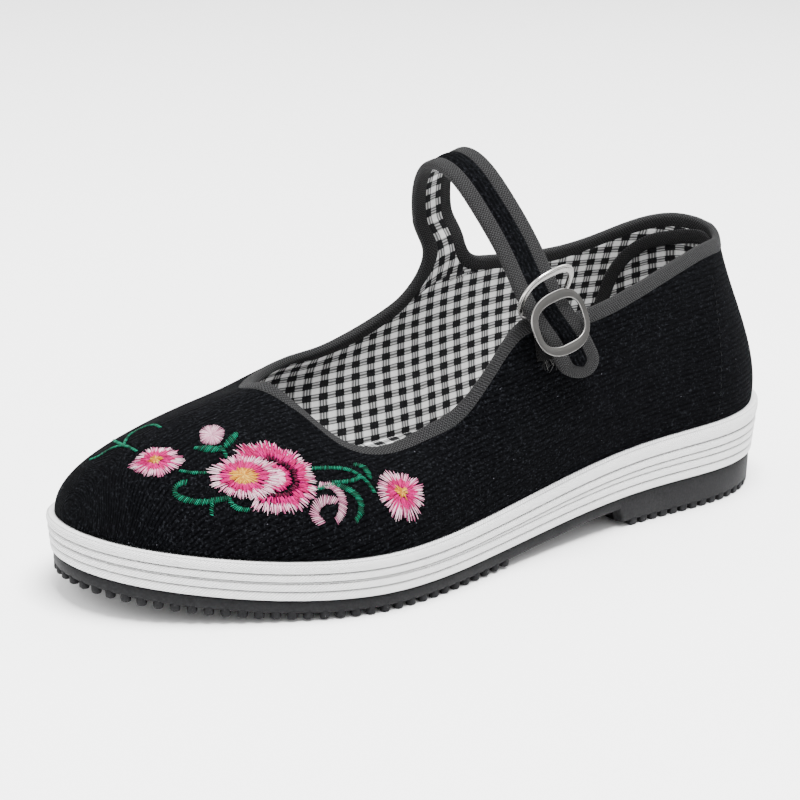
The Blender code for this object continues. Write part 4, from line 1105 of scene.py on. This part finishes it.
class Needle:
    """Gathers stitches, each a short path on the wall with its facing, width and colour."""

    points = 5

    def __init__(self):
        """Starts with no stitches and always with the same row of random numbers."""
        self.paths, self.facings, self.widths, self.colours = [], [], [], []
        self.random = np.random.default_rng(11)

    def pick(self, colours, count):
        """Random colours from these, each a little darker or lighter."""
        chosen = np.array(colours)[self.random.integers(0, len(colours), count)]
        return chosen * self.random.uniform(0.85, 1.06, (count, 1))

    def sew(self, path, facing, lift, width, colours):
        """Adds stitches along these paths. Each lies lift above the wall and bulges in its
        middle as a half sine."""
        count = len(path)
        arch = np.sin(np.pi * np.linspace(0, 1, self.points))
        high = lift + width * (0.15 + 0.55 * arch)
        self.paths.append(path + facing * high[None, :, None])
        self.facings.append(facing)
        self.widths.append(width * self.random.uniform(0.85, 1.12, count))
        self.colours.append(self.pick(colours, count))

    def ring(self, place, middle, table, span, inner, outer, count, lift, colours, ragged):
        """Stitches that run out from the middle: at each angle from one share of the reach in
        the table to another, with a little chance in both."""
        angle = np.linspace(*span, count) + self.random.normal(0, 0.6, count)
        ways, reach = np.array(table, float).T
        far = np.interp(angle, ways, reach, period=360) * MM
        begin = far * (inner + self.random.uniform(-ragged, ragged, count))
        end = far * (outer + self.random.uniform(-ragged, ragged * 0.8, count))
        bent = np.radians(angle + self.random.normal(0, 2.2, count))
        angle = np.radians(angle)
        share = np.linspace(0, 1, self.points)
        start = np.stack([np.cos(angle), np.sin(angle)], 1) * begin[:, None]
        finish = np.stack([np.cos(bent), np.sin(bent)], 1) * end[:, None]
        flat = start[:, None] + (finish - start)[:, None] * share[None, :, None] + np.array(middle) * MM
        path, facing = place(flat.reshape(-1, 2))
        shape = (count, self.points, 3)
        self.sew(path.reshape(shape), facing.reshape(shape), lift * MM, 0.34 * MM, colours)

    def vine(self, half_width, taper, colours, controls):
        """Slanting satin stitches side by side across a cubic curve through the controls. They
        are widest in the middle of the curve."""
        path = np.array(controls) * np.array([math.pi / 180, 1.0])
        rough = walked(wall(path[:, 0], path[:, 1]))
        length = rough[-1]
        count = max(int(length / (0.46 * MM)), 6)
        fine = spline(rough, path)(np.linspace(0, length, count))
        points, facing = wall(fine[:, 0], fine[:, 1]), wall_facing(fine[:, 0], fine[:, 1])
        way = unit(np.gradient(points, axis=0))
        side = np.cross(facing, way)
        swell = 1 - taper * (1 - np.sin(np.pi * np.linspace(0.08, 0.92, count)) ** 0.8)
        half = half_width * MM * swell * self.random.uniform(0.82, 1.15, count)
        slant = unit(side + 0.45 * way) * half[:, None]
        share = np.linspace(-1, 1, self.points)
        stitches = points[:, None] + slant[:, None] * share[None, :, None]
        facings = np.repeat(facing[:, None], self.points, axis=1)
        self.sew(stitches, facings, 0.05 * MM, 0.36 * MM, colours)

    def dashes(self, turn, ups, colours):
        """A row of short stitches down the wall at one angle."""
        length = wall_length(np.array([turn]))[0] * abs(ups[0] - ups[1])
        count = int(length / (2.3 * MM))
        middle = np.linspace(*ups, count) + self.random.normal(0, 0.001, count)
        half = 0.28 * abs(ups[0] - ups[1]) / count
        up = middle[:, None] + np.linspace(-half, half, self.points)
        turns = turn + self.random.normal(0, 0.002, (count, 1)) + np.zeros_like(up)
        shape = (count, self.points, 3)
        path, facing = wall(turns.ravel(), up.ravel()), wall_facing(turns.ravel(), up.ravel())
        self.sew(path.reshape(shape), facing.reshape(shape), 0.02 * MM, 0.24 * MM, colours)

    def frayed(self, place, facing, down, side, width, colours):
        """Loose thread ends that hang from a cut tape and curl away from the wall."""
        count = 34
        start = place + side * self.random.uniform(-0.5, 0.5, (count, 1)) * width
        way = down + side * self.random.normal(0, 0.45, (count, 1))
        way = way + facing * self.random.uniform(0, 0.35, (count, 1))
        length = self.random.uniform(1.2, 4.2, (count, 1)) * MM
        share = np.linspace(0, 1, self.points)[None, :, None]
        curl = np.cross(way, facing) * self.random.normal(0, 0.5, (count, 1))
        path = start[:, None] + (unit(way) * length)[:, None] * share
        path = path + (curl * length)[:, None] * share**2
        facings = np.broadcast_to(facing, path.shape).copy()
        self.sew(path, facings, 0.2 * MM, 0.17 * MM, colours)

    def finish(self, name, material):
        """Every stitch as a slim closed spindle with four sides, in one piece."""
        path, facing = np.concatenate(self.paths), np.concatenate(self.facings)
        width, colour = np.concatenate(self.widths), np.concatenate(self.colours)
        count, points = path.shape[:2]
        way = unit(np.gradient(path, axis=1))
        side = unit(np.cross(way, facing))
        out = np.cross(side, way)
        swell = np.sin(np.pi * np.linspace(0.10, 0.90, points)) ** 0.6
        half = (width[:, None] * swell / 2)[..., None]
        sides = (side * half, out * half, -side * half, -out * half)
        rings = np.stack([path + away for away in sides], 2)
        ring = np.arange(4)[None]
        one = np.vstack([quads(points, 4, False, True)[0], ring[:, ::-1], (points - 1) * 4 + ring])
        faces = (one[None] + (np.arange(count) * points * 4)[:, None, None]).reshape(-1, 4)
        made = settle(name, rings, faces, None, material)
        marks = made.data.color_attributes.new("thread_colour", "FLOAT_COLOR", "POINT")
        rgba = np.column_stack([np.repeat(colour, points * 4, axis=0), np.ones(count * points * 4)])
        marks.data.foreach_set("color", rgba.astype(np.float32).ravel())
        return made


def hoop(turn, up, tilt):
    """A flat place on the wall for a flower: turns pairs (along, above) of its own plane into
    points on the wall, and their facing, by Newton's method on (turn, up)."""
    turn, tilt = math.radians(turn), math.radians(tilt)
    small = 1e-4
    centre = wall([turn], [up])[0]
    by_turn = (wall([turn + small], [up])[0] - wall([turn - small], [up])[0]) / (2 * small)
    by_up = (wall([turn], [up + small])[0] - wall([turn], [up - small])[0]) / (2 * small)
    v = by_up / np.linalg.norm(by_up)
    u = -unit(by_turn - v * (by_turn @ v))
    along = math.cos(tilt) * u + math.sin(tilt) * v
    above = math.cos(tilt) * v - math.sin(tilt) * u
    plane = np.stack([along, above], 1)
    back = np.linalg.inv(plane.T @ np.stack([by_turn, by_up], 1))

    def place(flat):
        """The wall's points and facing over places of the plane."""
        spot = np.array([turn, up]) + flat @ back.T
        for _ in range(6):
            miss = flat - (wall(spot[:, 0], np.clip(spot[:, 1], 0, 1)) - centre) @ plane
            spot = spot + 0.8 * miss @ back.T
        return wall(spot[:, 0], spot[:, 1]), wall_facing(spot[:, 0], spot[:, 1])

    return place


def embroider(material):
    """The spray of flowers: vines and leaves first, then the blossoms from the back."""
    needle = Needle()
    for vine in VINES:
        needle.vine(*vine)
    peony = hoop(*PEONY_AT)
    for ring in PEONY_RINGS:
        needle.ring(peony, *ring)
    for at, reaches in ((LEFT_AT, SMALL_LEFT), (RIGHT_AT, SMALL_RIGHT)):
        place = hoop(*at)
        for ring in SMALL_RINGS:
            needle.ring(place, FRONT, reaches, *ring)
    needle.ring(hoop(*BUD_AT), *BUD_RING)
    return needle.finish("embroidery", material)


def loose_threads(material):
    """The faint stitches down the back strip, and the frayed ends of the keeper's tape."""
    needle = Needle()
    needle.dashes(BACK_SEAM_TURN, BACK_SEAM_UPS, SEAM)
    needle.dashes(TAU - BACK_SEAM_TURN, BACK_SEAM_UPS, SEAM)
    middle, facing, up = (v[0] for v in wall_at(BUCKLE_X - 2 * MM, KEEPER_LENGTH - 0.6 * MM, 1))
    place = middle + facing * (WALL / 2 + 0.5 * MM)
    side = np.cross(up, facing)
    needle.frayed(place, facing, -up, side, KEEPER_WIDTH, FRAY)
    return needle.finish("loose_threads", material)


# Binding and strap


def superellipse(angle, width, length, power):
    """Points of a superellipse of this power: cosine and sine of the angle, each raised to
    2/power with its sign kept and scaled to half the width and half the length."""
    cos, sin = np.cos(angle), np.sin(angle)
    first = np.sign(cos) * np.abs(cos) ** (2 / power) * width / 2
    second = np.sign(sin) * np.abs(sin) ** (2 / power) * length / 2
    return first, second


def oval_section(width, thickness, count, fullness):
    """Points round a flattened oval: across and out."""
    return superellipse(np.linspace(0, TAU, count, endpoint=False), width, thickness, fullness)


def binding_track(step, arc_points, run_points, tip_points):
    """Edge and inner line of the tape that binds the collar and the strap, with the outward
    normals: forward from the strap's root, round the throat, the outer side and the heel,
    then up the strap's back edge, round its tip and down its front."""
    half = STRAP_WIDTH / 2
    front = collar_turn(ROOT_X + half + FRONT_FILLET, -1)
    back = collar_turn(ROOT_X - half - BACK_FILLET, -1)
    span = np.linspace(front, back - TAU, 900)
    collar, _ = from_collar(span, np.zeros((1, len(span))))
    gone = walked(collar[0])
    turn = np.interp(np.linspace(0, gone[-1], int(gone[-1] / step)), gone, span)
    points, normals = from_collar(turn, np.array([[0.0], [BINDING_WIDTH]]) * np.ones(len(turn)))
    points = points - normals * WALL / 2
    edge, inner, facing = [points[0]], [points[1]], [normals[0]]
    for side in (-1, 1):
        shape = (arc_points, run_points, tip_points)
        outer, normal = strap_point(*strap_edge(side, 0.0, *shape))
        inside, _ = strap_point(*strap_edge(side, BINDING_WIDTH, *shape))
        part = slice(1, None) if side < 0 else slice(-2, 0, -1)
        edge.append(outer[part])
        inner.append(inside[part])
        facing.append(normal[part])
    return np.vstack(edge), np.vstack(inner), np.vstack(facing)


def make_binding(material):
    """The tape as one closed tube: a soft oval between its edge and its inner line, fuller at
    the fold, whose thickness swells a little as a product of two long sines."""
    edge, inner, normal = binding_track(1.1 * MM, 18, 110, 18)
    gone = walked(np.vstack([edge, edge[:1]]))
    middle, half = (edge + inner) / 2, (inner - edge) / 2
    across, out = oval_section(2.0, 1.0, 20, 3.0)
    swell = 1 + 0.05 * np.sin(gone[:-1] / (7.3 * MM)) * np.sin(gone[:-1] / (19 * MM))
    fold = 1 + 0.12 * np.clip(-across, 0, 1)
    rings = [
        middle + half * a + normal * (BINDING_THICKNESS * 0.97 * o * f * swell)[:, None]
        for a, o, f in zip(across, out, fold)
    ]
    rings = np.array(rings)
    section = walked(np.column_stack([across * BINDING_WIDTH / 2, out * BINDING_THICKNESS]))
    section = np.append(section, section[-1] + (section[1] - section[0]))
    uv = np.stack(np.broadcast_arrays(gone[None, :] / MM, section[:, None] / MM), 2)
    return tube_piece("binding_tape", rings, uv, material, ("binding",))


def strap_ribbon(name, inset, lift, thickness, material, replaced=()):
    """A ribbon between the strap's bindings, lift above its middle surface: a flat closed
    section of points across, carried along the strap, with a slight crown."""
    shape = (16, 110, 14)
    front, back = (strap_edge(side, inset, *shape) for side in (1, -1))
    shares = np.linspace(0, 1, 7)
    tops, unders = [], []
    places = []
    for share in shares:
        across = front[0] * (1 - share) + back[0] * share
        across[-1] = (0.5 - share) * 0.4 * MM
        distance = front[1] * (1 - share) + back[1] * share
        middle, normal = strap_point(across, distance)
        crown = 0.35 * thickness * (1 - (2 * share - 1) ** 2)
        tops.append(middle + normal * (lift + thickness / 2 + crown))
        unders.append(middle + normal * (lift - thickness / 2))
        places.append(np.column_stack([distance, across]) / MM)
    rings = np.array(tops + unders[::-1]).transpose(1, 0, 2)
    uv = np.array(places + places[::-1] + places[:1]).transpose(1, 0, 2)
    return capped_piece(name, rings, uv, material, replaced)


# Buckle


def buckle_frame(rise):
    """A point of the strap's middle surface this far above the middle of the outer ring,
    with the ways along the shoe, down the strap and outwards there."""
    collar = wall_at(BUCKLE_X, 0.0, 1)[0][0]
    descent = STRAP_FINE[400:]
    distance = np.interp(-(collar[2] - RING_DROP), -descent[:, 2], STRAP_WALKED[400:]) - rise
    point, normal = (v[0] for v in strap_point([0.0], [distance]))
    side = np.array([math.cos(STRAP_LEAN), 0.0, -math.sin(STRAP_LEAN)])
    return point, side, unit(np.cross(normal, side)), normal


def oblong(width, length, power, count):
    """A rounded oblong, as plan points."""
    angle = (np.arange(count) + 0.5) * TAU / count
    return np.column_stack(superellipse(angle, width, length, power))


def make_ring(name, centre, side, down, normal, arch, low_bar, material, replaced):
    """A stamped ring: between its outer and inner oblong the face is slightly domed with a
    rolled rim, and the whole is bent a little across its middle."""
    count = 144
    outer = oblong(RING_WIDTH, RING_LENGTH, 2.4, count)
    hole = oblong(RING_WIDTH - 2 * RING_END, RING_LENGTH - RING_BAR - low_bar, 2.9, count)
    hole[:, 1] += (RING_BAR - low_bar) / 2
    rows = (
        # share from the outer to the inner edge, lift in thicknesses
        (0.00, 0.00), (0.02, 0.28), (0.07, 0.46), (0.14, 0.50), (0.24, 0.42), (0.36, 0.38),
        (0.50, 0.37), (0.64, 0.38), (0.78, 0.43), (0.90, 0.50), (0.96, 0.44), (1.00, 0.20),
        (1.00, -0.20), (0.96, -0.42), (0.80, -0.50), (0.50, -0.50), (0.20, -0.50), (0.04, -0.42),
    )
    rings, places = [], []
    for share, lift in rows:
        plan = outer + (hole - outer) * share
        height = lift * RING_THICKNESS - arch * (2 * plan[:, 0] / RING_WIDTH) ** 2
        place = np.outer(plan[:, 0], side) + np.outer(plan[:, 1], down) + np.outer(height, normal)
        rings.append(centre + place)
        places.append(np.vstack([plan, plan[:1]]) / MM)
    made = tube_piece(name, rings, [*places, places[0]], material, replaced)
    # share of painted highlight on the rolled rims, read by the steel as rim
    marks = made.data.attributes.new("rim", "FLOAT", "POINT")
    rim_highlight_shares = [max(0.0, abs(2 * share - 1) - 0.86) / 0.14 for share, _ in rows]
    marks.data.foreach_set("value", np.repeat(rim_highlight_shares, count).astype(np.float32))
    return made


def make_keeper(tie, side, down, normal, material):
    """The tape folded over the hidden bar, with its tail flat on the wall below."""
    half = KEEPER_THICKNESS / 2
    reach = math.hypot(TIE_BAR, RING_THICKNESS) / 2 + 2 * GAP + half
    across = np.linspace(-0.5, 0.5, 9) * KEEPER_WIDTH
    middles, aways = [], []
    for angle in np.radians(np.linspace(-60, 180, 20)):
        away = math.cos(angle) * normal - math.sin(angle) * down
        middles.append(tie + np.outer(across, side) + reach * away)
        aways.append(np.tile(away, (len(across), 1)))
    for depth in np.linspace(-0.5 * MM, KEEPER_LENGTH, 12):
        middle, facing, _ = wall_at(BUCKLE_X + across, np.full(len(across), depth), 1)
        seat = BINDING_THICKNESS / 2 if depth < BINDING_WIDTH + half else WALL / 2
        middles.append(middle + facing * (seat + GAP + half))
        aways.append(-facing)
    middles, aways = np.array(middles), np.array(aways)
    rings = np.concatenate([middles + aways * half, (middles - aways * half)[:, ::-1]], 1)
    gone = walked(middles[:, 4]) / MM
    width = np.concatenate([across, across[::-1], across[:1]]) / MM
    uv = np.stack(np.broadcast_arrays(gone[:, None], width[None, :]), 2)
    return capped_piece("keeper_tape", rings, uv, material, ("buckle_keeper",))


def make_buckle(front_steel_painted_darker, steel_painted_brighter, tape):
    """Both rings and the keeper: the front ring lies on the strap, and the back ring is tilted
    round its hidden bar, so that it leans away from the strap."""
    strap_face = BINDING_THICKNESS / 2 + GAP
    centre, side, down, normal = buckle_frame(0.0)
    lift = strap_face + RING_THICKNESS / 2 + RING_ARCH
    # the front ring's steel is painted darker, as painted shade
    make_ring("front_ring", centre + normal * lift, side, down, normal, RING_ARCH, RING_BAR,
              front_steel_painted_darker, ("buckle_outer_ring",))
    centre, side, down, normal = buckle_frame(TIE_RISE)
    cos, sin = math.cos(RING_TILT), math.sin(RING_TILT)
    tilted_down = down * cos - normal * sin
    tilted_normal = normal * cos + down * sin
    bar_reach = (TIE_BAR * sin + RING_THICKNESS * cos) / 2
    tie = centre - normal * (strap_face + KEEPER_THICKNESS + 2 * GAP + bar_reach)
    inner = tie - tilted_down * (RING_LENGTH - TIE_BAR) / 2
    # the back ring's steel is painted brighter, as painted light
    make_ring("back_ring", inner, side, tilted_down, tilted_normal, 0.0, TIE_BAR,
              steel_painted_brighter, ("buckle_inner_ring",))
    make_keeper(tie, side, down, normal, tape)


# Sole


def make_midsole(material):
    """The layered midsole. Each band is a row of points whose side swells as a half sine
    between two grooves; the lines of the grooves run from their heel to their forefoot share."""
    stations = 640
    turn = even_turns(stations)
    along = along_of(turn)
    low, high = seat_height(along) + GAP, midsole_top(along)
    heel_share = np.clip(PROFILE(along)[:, 2], 0, 1)
    lines = [fore + (heel - fore) * heel_share for heel, fore in LAYER_ROWS]
    swell, cut = 0.42 * MM, 0.62 * MM
    inner = 3.5 * MM
    rings, painted_groove_shade = [sole_ring(turn, SIDE_DRAFT + inner, low)], [np.zeros(stations)]
    for below, above in zip(lines[:-1], lines[1:]):
        fullness = np.clip((above - below) / 0.16, 0, 1)
        for w in (0.0, 0.03, 0.08, 0.16, 0.30, 0.50, 0.70, 0.84, 0.92, 0.97):
            share = below + (above - below) * w
            edge = 1 - min(w, 1 - w) / 0.16
            depth = cut * max(edge, 0) ** 2 - swell * fullness * math.sin(math.pi * w) ** 0.8
            first = below is lines[0] and w < 0.16
            depth = depth * (0.4 if first else 1.0)
            height = low + (high - low) * share
            rings.append(sole_ring(turn, SIDE_DRAFT * (1 - share) + depth, height))
            # how much painted shade each ring gets: most at the grooves between the bands
            painted_groove_shade.append(np.full(stations, 0.0 if first else max(edge, 0) ** 3))
    for inset, drop in ((0.10, -0.10), (0.35, 0.15), (0.9, 0.30), (2.0, 0.25), (4.5, 0.1)):
        rings.append(sole_ring(turn, inset * MM, high - 0.30 * MM + drop * MM))
        painted_groove_shade.append(np.zeros(stations))
    rings = np.array(rings)
    gone = walked(np.vstack([outline(turn), outline(turn)[:1]])) / MM
    across = np.append(0, np.cumsum(np.linalg.norm(np.diff(rings[:, 0], axis=0), axis=1))) / MM
    uv = np.stack(np.broadcast_arrays(gone[None, :], across[:, None]), 2)
    made = capped_piece("layered_midsole", rings, uv, material, ("midsole",))
    # painted shade of the grooves, read by the sole's material
    marks = made.data.attributes.new("painted_groove_shade", "FLOAT", "POINT")
    marks.data.foreach_set("value", np.append(np.array(painted_groove_shade).ravel(), [0, 0]).astype(np.float32))
    return made


def tread_underside(along):
    """Height of the outsole between its studs."""
    plate = seat_height(along) - TREAD_PLATE
    back = np.clip(1 - along / 0.07, 0, 1)
    heel = STUD_HEIGHT + HEEL_LIFT * back**2
    return plate + (heel - plate) * (1 - smooth((along - HEEL_BREAST) / BREAST_STEP))


def pegs(centres, ways, tops, bottoms, size, power):
    """Closed pegs as one set of points and faces: each is a superellipse of this power,
    carried from its top to its foot, which is rounded off."""
    count = 12
    across = oblong(size[0], size[1], power, count)
    levels = ((0.0, 1.0), (0.75, 0.97), (0.93, 0.88), (1.0, 0.66))
    side = np.stack([-ways[:, 1], ways[:, 0]], 1)
    rings = []
    for share, scale in levels:
        plan = centres[:, None] + scale * (
            across[None, :, :1] * ways[:, None] + across[None, :, 1:] * side[:, None]
        )
        height = (tops + (bottoms - tops) * share)[:, None, None]
        rings.append(np.concatenate([plan, np.broadcast_to(height, (*plan.shape[:2], 1))], 2))
    points = np.stack(rings, 1).reshape(-1, 3)
    per = count * len(levels)
    ring = np.arange(count)
    one, _ = quads(len(levels), count, False, True)
    base = np.arange(len(centres))[:, None, None] * per
    faces = list((one[None] + base).reshape(-1, 4))
    caps = np.stack([ring[::-1], (len(levels) - 1) * count + ring])
    faces += list((caps[None] + base).reshape(-1, count))
    return points, faces


def row_of_studs(first, last, pitch, inset):
    """Places and ways along the sole's edge at even steps between two distances."""
    fine = np.linspace(0, TAU, 4001)
    track = outline(fine, inset)
    gone = walked(track)
    spots = np.mod(np.linspace(first, last, int(round((last - first) / pitch)) + 1), gone[-1])
    turn = np.interp(spots, gone, fine)
    way = unit(outline(turn + 1e-3, inset) - outline(turn - 1e-3, inset))
    return outline(turn, inset), way, turn


def make_outsole(material):
    """The tread: a plate with a rounded edge, a heel block, studs along its edge and bars."""
    stations = 560
    breast = turn_of([HEEL_BREAST, HEEL_BREAST + BREAST_STEP])
    turn = np.sort(np.concatenate([even_turns(stations), breast, TAU - breast]))
    along = along_of(turn)
    top, bottom = seat_height(along), tread_underside(along)
    inset = SIDE_DRAFT + TREAD_INSET
    rows = ((4.0, 0.0), (1.6, 0.0), (0.9, 0.08), (0.35, 0.35), (0.08, 0.8), (0.0, 1.3))
    rings = [sole_ring(turn, inset + i * MM, bottom + h * MM) for i, h in rows]
    rings.append(sole_ring(turn, inset, top - 0.4 * MM))
    rings.append(sole_ring(turn, inset + 0.3 * MM, top))
    rings = np.array(rings)
    count, columns = rings.shape[:2]
    faces, _ = quads(count, columns, False, True)
    points = [rings.reshape(-1, 3)]
    faces = list(faces)
    half = columns // 2
    for start in (0, (count - 1) * columns):
        ring = start + np.arange(columns)
        strips = [(ring[0], ring[1], ring[-1])]
        strips += [
            (ring[i], ring[i + 1], ring[columns - i - 1], ring[columns - i]) for i in range(1, half)
        ]
        if columns % 2 == 0:
            strips[-1] = (ring[half - 1], ring[half], ring[half + 1])
        faces += strips
    base = count * columns
    stud_inset = inset + STUD_INSET
    fine = np.linspace(0, math.pi, 2001)
    reach = walked(outline(fine, stud_inset))
    loop = walked(outline(np.linspace(0, TAU, 4001), stud_inset))[-1]
    heel_reach, fore_reach = np.interp([STUDS_HEEL_END, STUDS_FORE_START], along_of(fine), reach)
    sets = (
        (-heel_reach, heel_reach, HEEL_STUD_PITCH, (2.9 * MM, 2.6 * MM), 7),
        (fore_reach, loop - fore_reach, FORE_STUD_PITCH, (2.9 * MM, 2.7 * MM), 2.3),
    )
    for first, last, pitch, size, power in sets:
        places, ways, spots = row_of_studs(first, last, pitch, stud_inset)
        tops = tread_underside(along_of(spots))
        made, shapes = pegs(places, ways, tops + 0.8 * MM, tops - STUD_HEIGHT, size, power)
        points.append(made)
        faces += [np.asarray(f) + base for f in shapes]
        base += len(made)
    ball = BALL_BARS_AT * SOLE_LENGTH - ORIGIN_FROM_HEEL
    for centre, number in ((0.0, HEEL_BAR_COUNT), (ball, BALL_BAR_COUNT)):
        xs = centre + (np.arange(number) - (number - 1) / 2) * BAR_PITCH
        spots = turn_of((xs + ORIGIN_FROM_HEEL) / SOLE_LENGTH)
        lateral = OUTLINE_SIDE(spots) - BAR_INSET
        medial = OUTLINE_SIDE(TAU - spots) + BAR_INSET
        for x, high, low in zip(xs, lateral, medial):
            size = (BAR_WIDTH, high - low)
            made, shapes = pegs(np.array([[x, (high + low) / 2]]), np.array([[1.0, 0.0]]),
                                np.array([BALL_SEAT]), np.array([0.0]), size, 14)
            points.append(made)
            faces += [np.asarray(f) + base for f in shapes]
            base += len(made)
    return settle("studded_tread", np.vstack(points), faces, None, material, ("outsole",))


def make_insole(material):
    """The covered footbed: a thin slab with a rounded edge, whose face sinks a little towards
    its middle line in rings that stop just short of it."""
    stations = 300
    turn = even_turns(stations)
    along = along_of(turn)
    inset = FEATHER_INSET + WALL + INSOLE_MARGIN - 0.9 * MM
    low = midsole_top(along) + GAP
    rows = ((0.0, 0.1), (0.0, 1.3), (0.35, 1.9), (1.0, 2.3), (2.2, 2.4))
    rings = [sole_ring(turn, inset + i * MM, low + h * MM) for i, h in rows]
    ring = rings[-1]
    spine = np.column_stack([np.clip(ring[:, 0], -0.012, 0.185), np.zeros(stations)])
    face = GAP + INSOLE_THICKNESS
    spine_height = midsole_top((spine[:, 0] + ORIGIN_FROM_HEEL) / SOLE_LENGTH) + face
    for share in np.linspace(0, 1, 26)[1:-1]:
        plan = ring[:, :2] + (spine - ring[:, :2]) * share
        flat = midsole_top(np.clip((plan[:, 0] + ORIGIN_FROM_HEEL) / SOLE_LENGTH, 0, 1)) + face
        rings.append(np.column_stack([plan, flat - 0.25 * MM * math.sin(math.pi * share / 2)]))
    last = spine + (ring[:, :2] - spine) * 0.015
    rings.append(np.column_stack([last, spine_height - 0.25 * MM]))
    rings = np.array(rings)
    uv = rings[..., :2] / MM
    uv = np.concatenate([uv, uv[:, :1]], 1)
    return capped_piece("footbed", rings, uv, material, ("insole",))


# Pieces


corduroy = corduroy_material("corduroy")
velvet = corduroy_material("strap_velvet", 1.3)
tape = tape_material("grey_tape")
gingham = gingham_material("gingham")

make_midsole(white_sole_material())
make_outsole(rubber_material())
make_insole(gingham)
upper_top = BINDING_WIDTH - 1.2 * MM
shell("corduroy_upper", 0.0, 1.15 * MM, 560, 56, upper_top, corduroy, False, ("upper",))
shell("gingham_lining", 1.2 * MM, WALL + 0.1 * MM, 420, 40, upper_top, gingham, True)
heel_patch_tape(tape)
silk = silk_material()
embroider(silk)
loose_threads(silk)
make_binding(tape)
ribbon_inset = BINDING_WIDTH - 0.8 * MM
strap_ribbon("strap_stripe", ribbon_inset, 0.25 * MM, 1.3 * MM, velvet, ("strap",))
strap_ribbon("strap_lining", ribbon_inset, -0.75 * MM, 0.5 * MM, gingham)
# one steel in two copies: the greys 0.075 and 0.20 are painted shade and painted light; the roughness
# differs too
make_buckle(steel_material("dull_steel", 0.075, 0.45), steel_material("steel_painted_brighter", 0.20, 0.22),
            tape_material("black_tape", 0.002, 0.009))


# Floor, light and camera


CAMERA_TARGET = (0.091, 0.0, 0.0313)
CAMERA_DISTANCE = 0.700
CAMERA_AZIMUTH = math.radians(38.5)
CAMERA_ELEVATION = math.radians(17.3)
CAMERA_ROLL = math.radians(2.1)


def make_floor():
    """A pale floor far wider than the view, just under the tread."""
    half = 3.0
    corners = [(-half, -half, 0), (half, -half, 0), (half, half, 0), (-half, half, 0)]
    mesh = bpy.data.meshes.new("floor")
    mesh.from_pydata(corners, [], [(0, 1, 2, 3)])
    made, _, shader = new_material("pale_floor")
    shader.inputs["Base Color"].default_value = (0.96, 0.96, 0.96, 1.0)
    shader.inputs["Roughness"].default_value = 0.9
    shader.inputs["Specular IOR Level"].default_value = 0.1
    mesh.materials.append(made)
    floor = bpy.data.objects.new("floor", mesh)
    bpy.context.scene.collection.objects.link(floor)


def make_light(name, place, target, size, power):
    """A square area light at this place that looks at the target."""
    lamp = bpy.data.lights.new(name, "AREA")
    lamp.size = size
    lamp.energy = power
    made = bpy.data.objects.new(name, lamp)
    made.location = place
    way = np.array(target) - np.array(place)
    made.rotation_mode = "QUATERNION"
    made.rotation_quaternion = Vector(way).to_track_quat("-Z", "Y")
    bpy.context.scene.collection.objects.link(made)


def make_camera():
    """The photograph's camera: it looks from the outer side in front of the toe, a little
    rolled, with its picture shifted."""
    data = bpy.data.cameras.new("camera")
    data.lens = 105.65
    data.sensor_width = 36.0
    data.shift_x, data.shift_y = -0.0493, 0.0369
    data.clip_start, data.clip_end = 0.05, 20.0
    made = bpy.data.objects.new("camera", data)
    level = math.cos(CAMERA_ELEVATION)
    back = Vector((
        math.sin(CAMERA_AZIMUTH) * level,
        math.cos(CAMERA_AZIMUTH) * level,
        math.sin(CAMERA_ELEVATION),
    ))
    made.location = Vector(CAMERA_TARGET) + back * CAMERA_DISTANCE
    made.rotation_mode = "QUATERNION"
    made.rotation_quaternion = (-back).to_track_quat("-Z", "Y") @ Quaternion((0, 0, 1), CAMERA_ROLL)
    bpy.context.scene.collection.objects.link(made)
    bpy.context.scene.camera = made


make_floor()
make_light("key", (0.15, 0.35, 1.6), (0.09, 0.0, 0.03), 0.9, 100.0)
make_light("fill", (1.3, -0.4, 1.0), (0.09, 0.0, 0.03), 1.2, 16.0)
make_light("rim", (-0.9, -0.5, 1.2), (0.09, 0.0, 0.05), 0.9, 14.0)
make_camera()

world = bpy.data.worlds.new("studio")
world.use_nodes = True
background = world.node_tree.nodes["Background"]
background.inputs["Color"].default_value = (1.0, 1.0, 1.0, 1.0)
background.inputs["Strength"].default_value = 1.55
bpy.context.scene.world = world
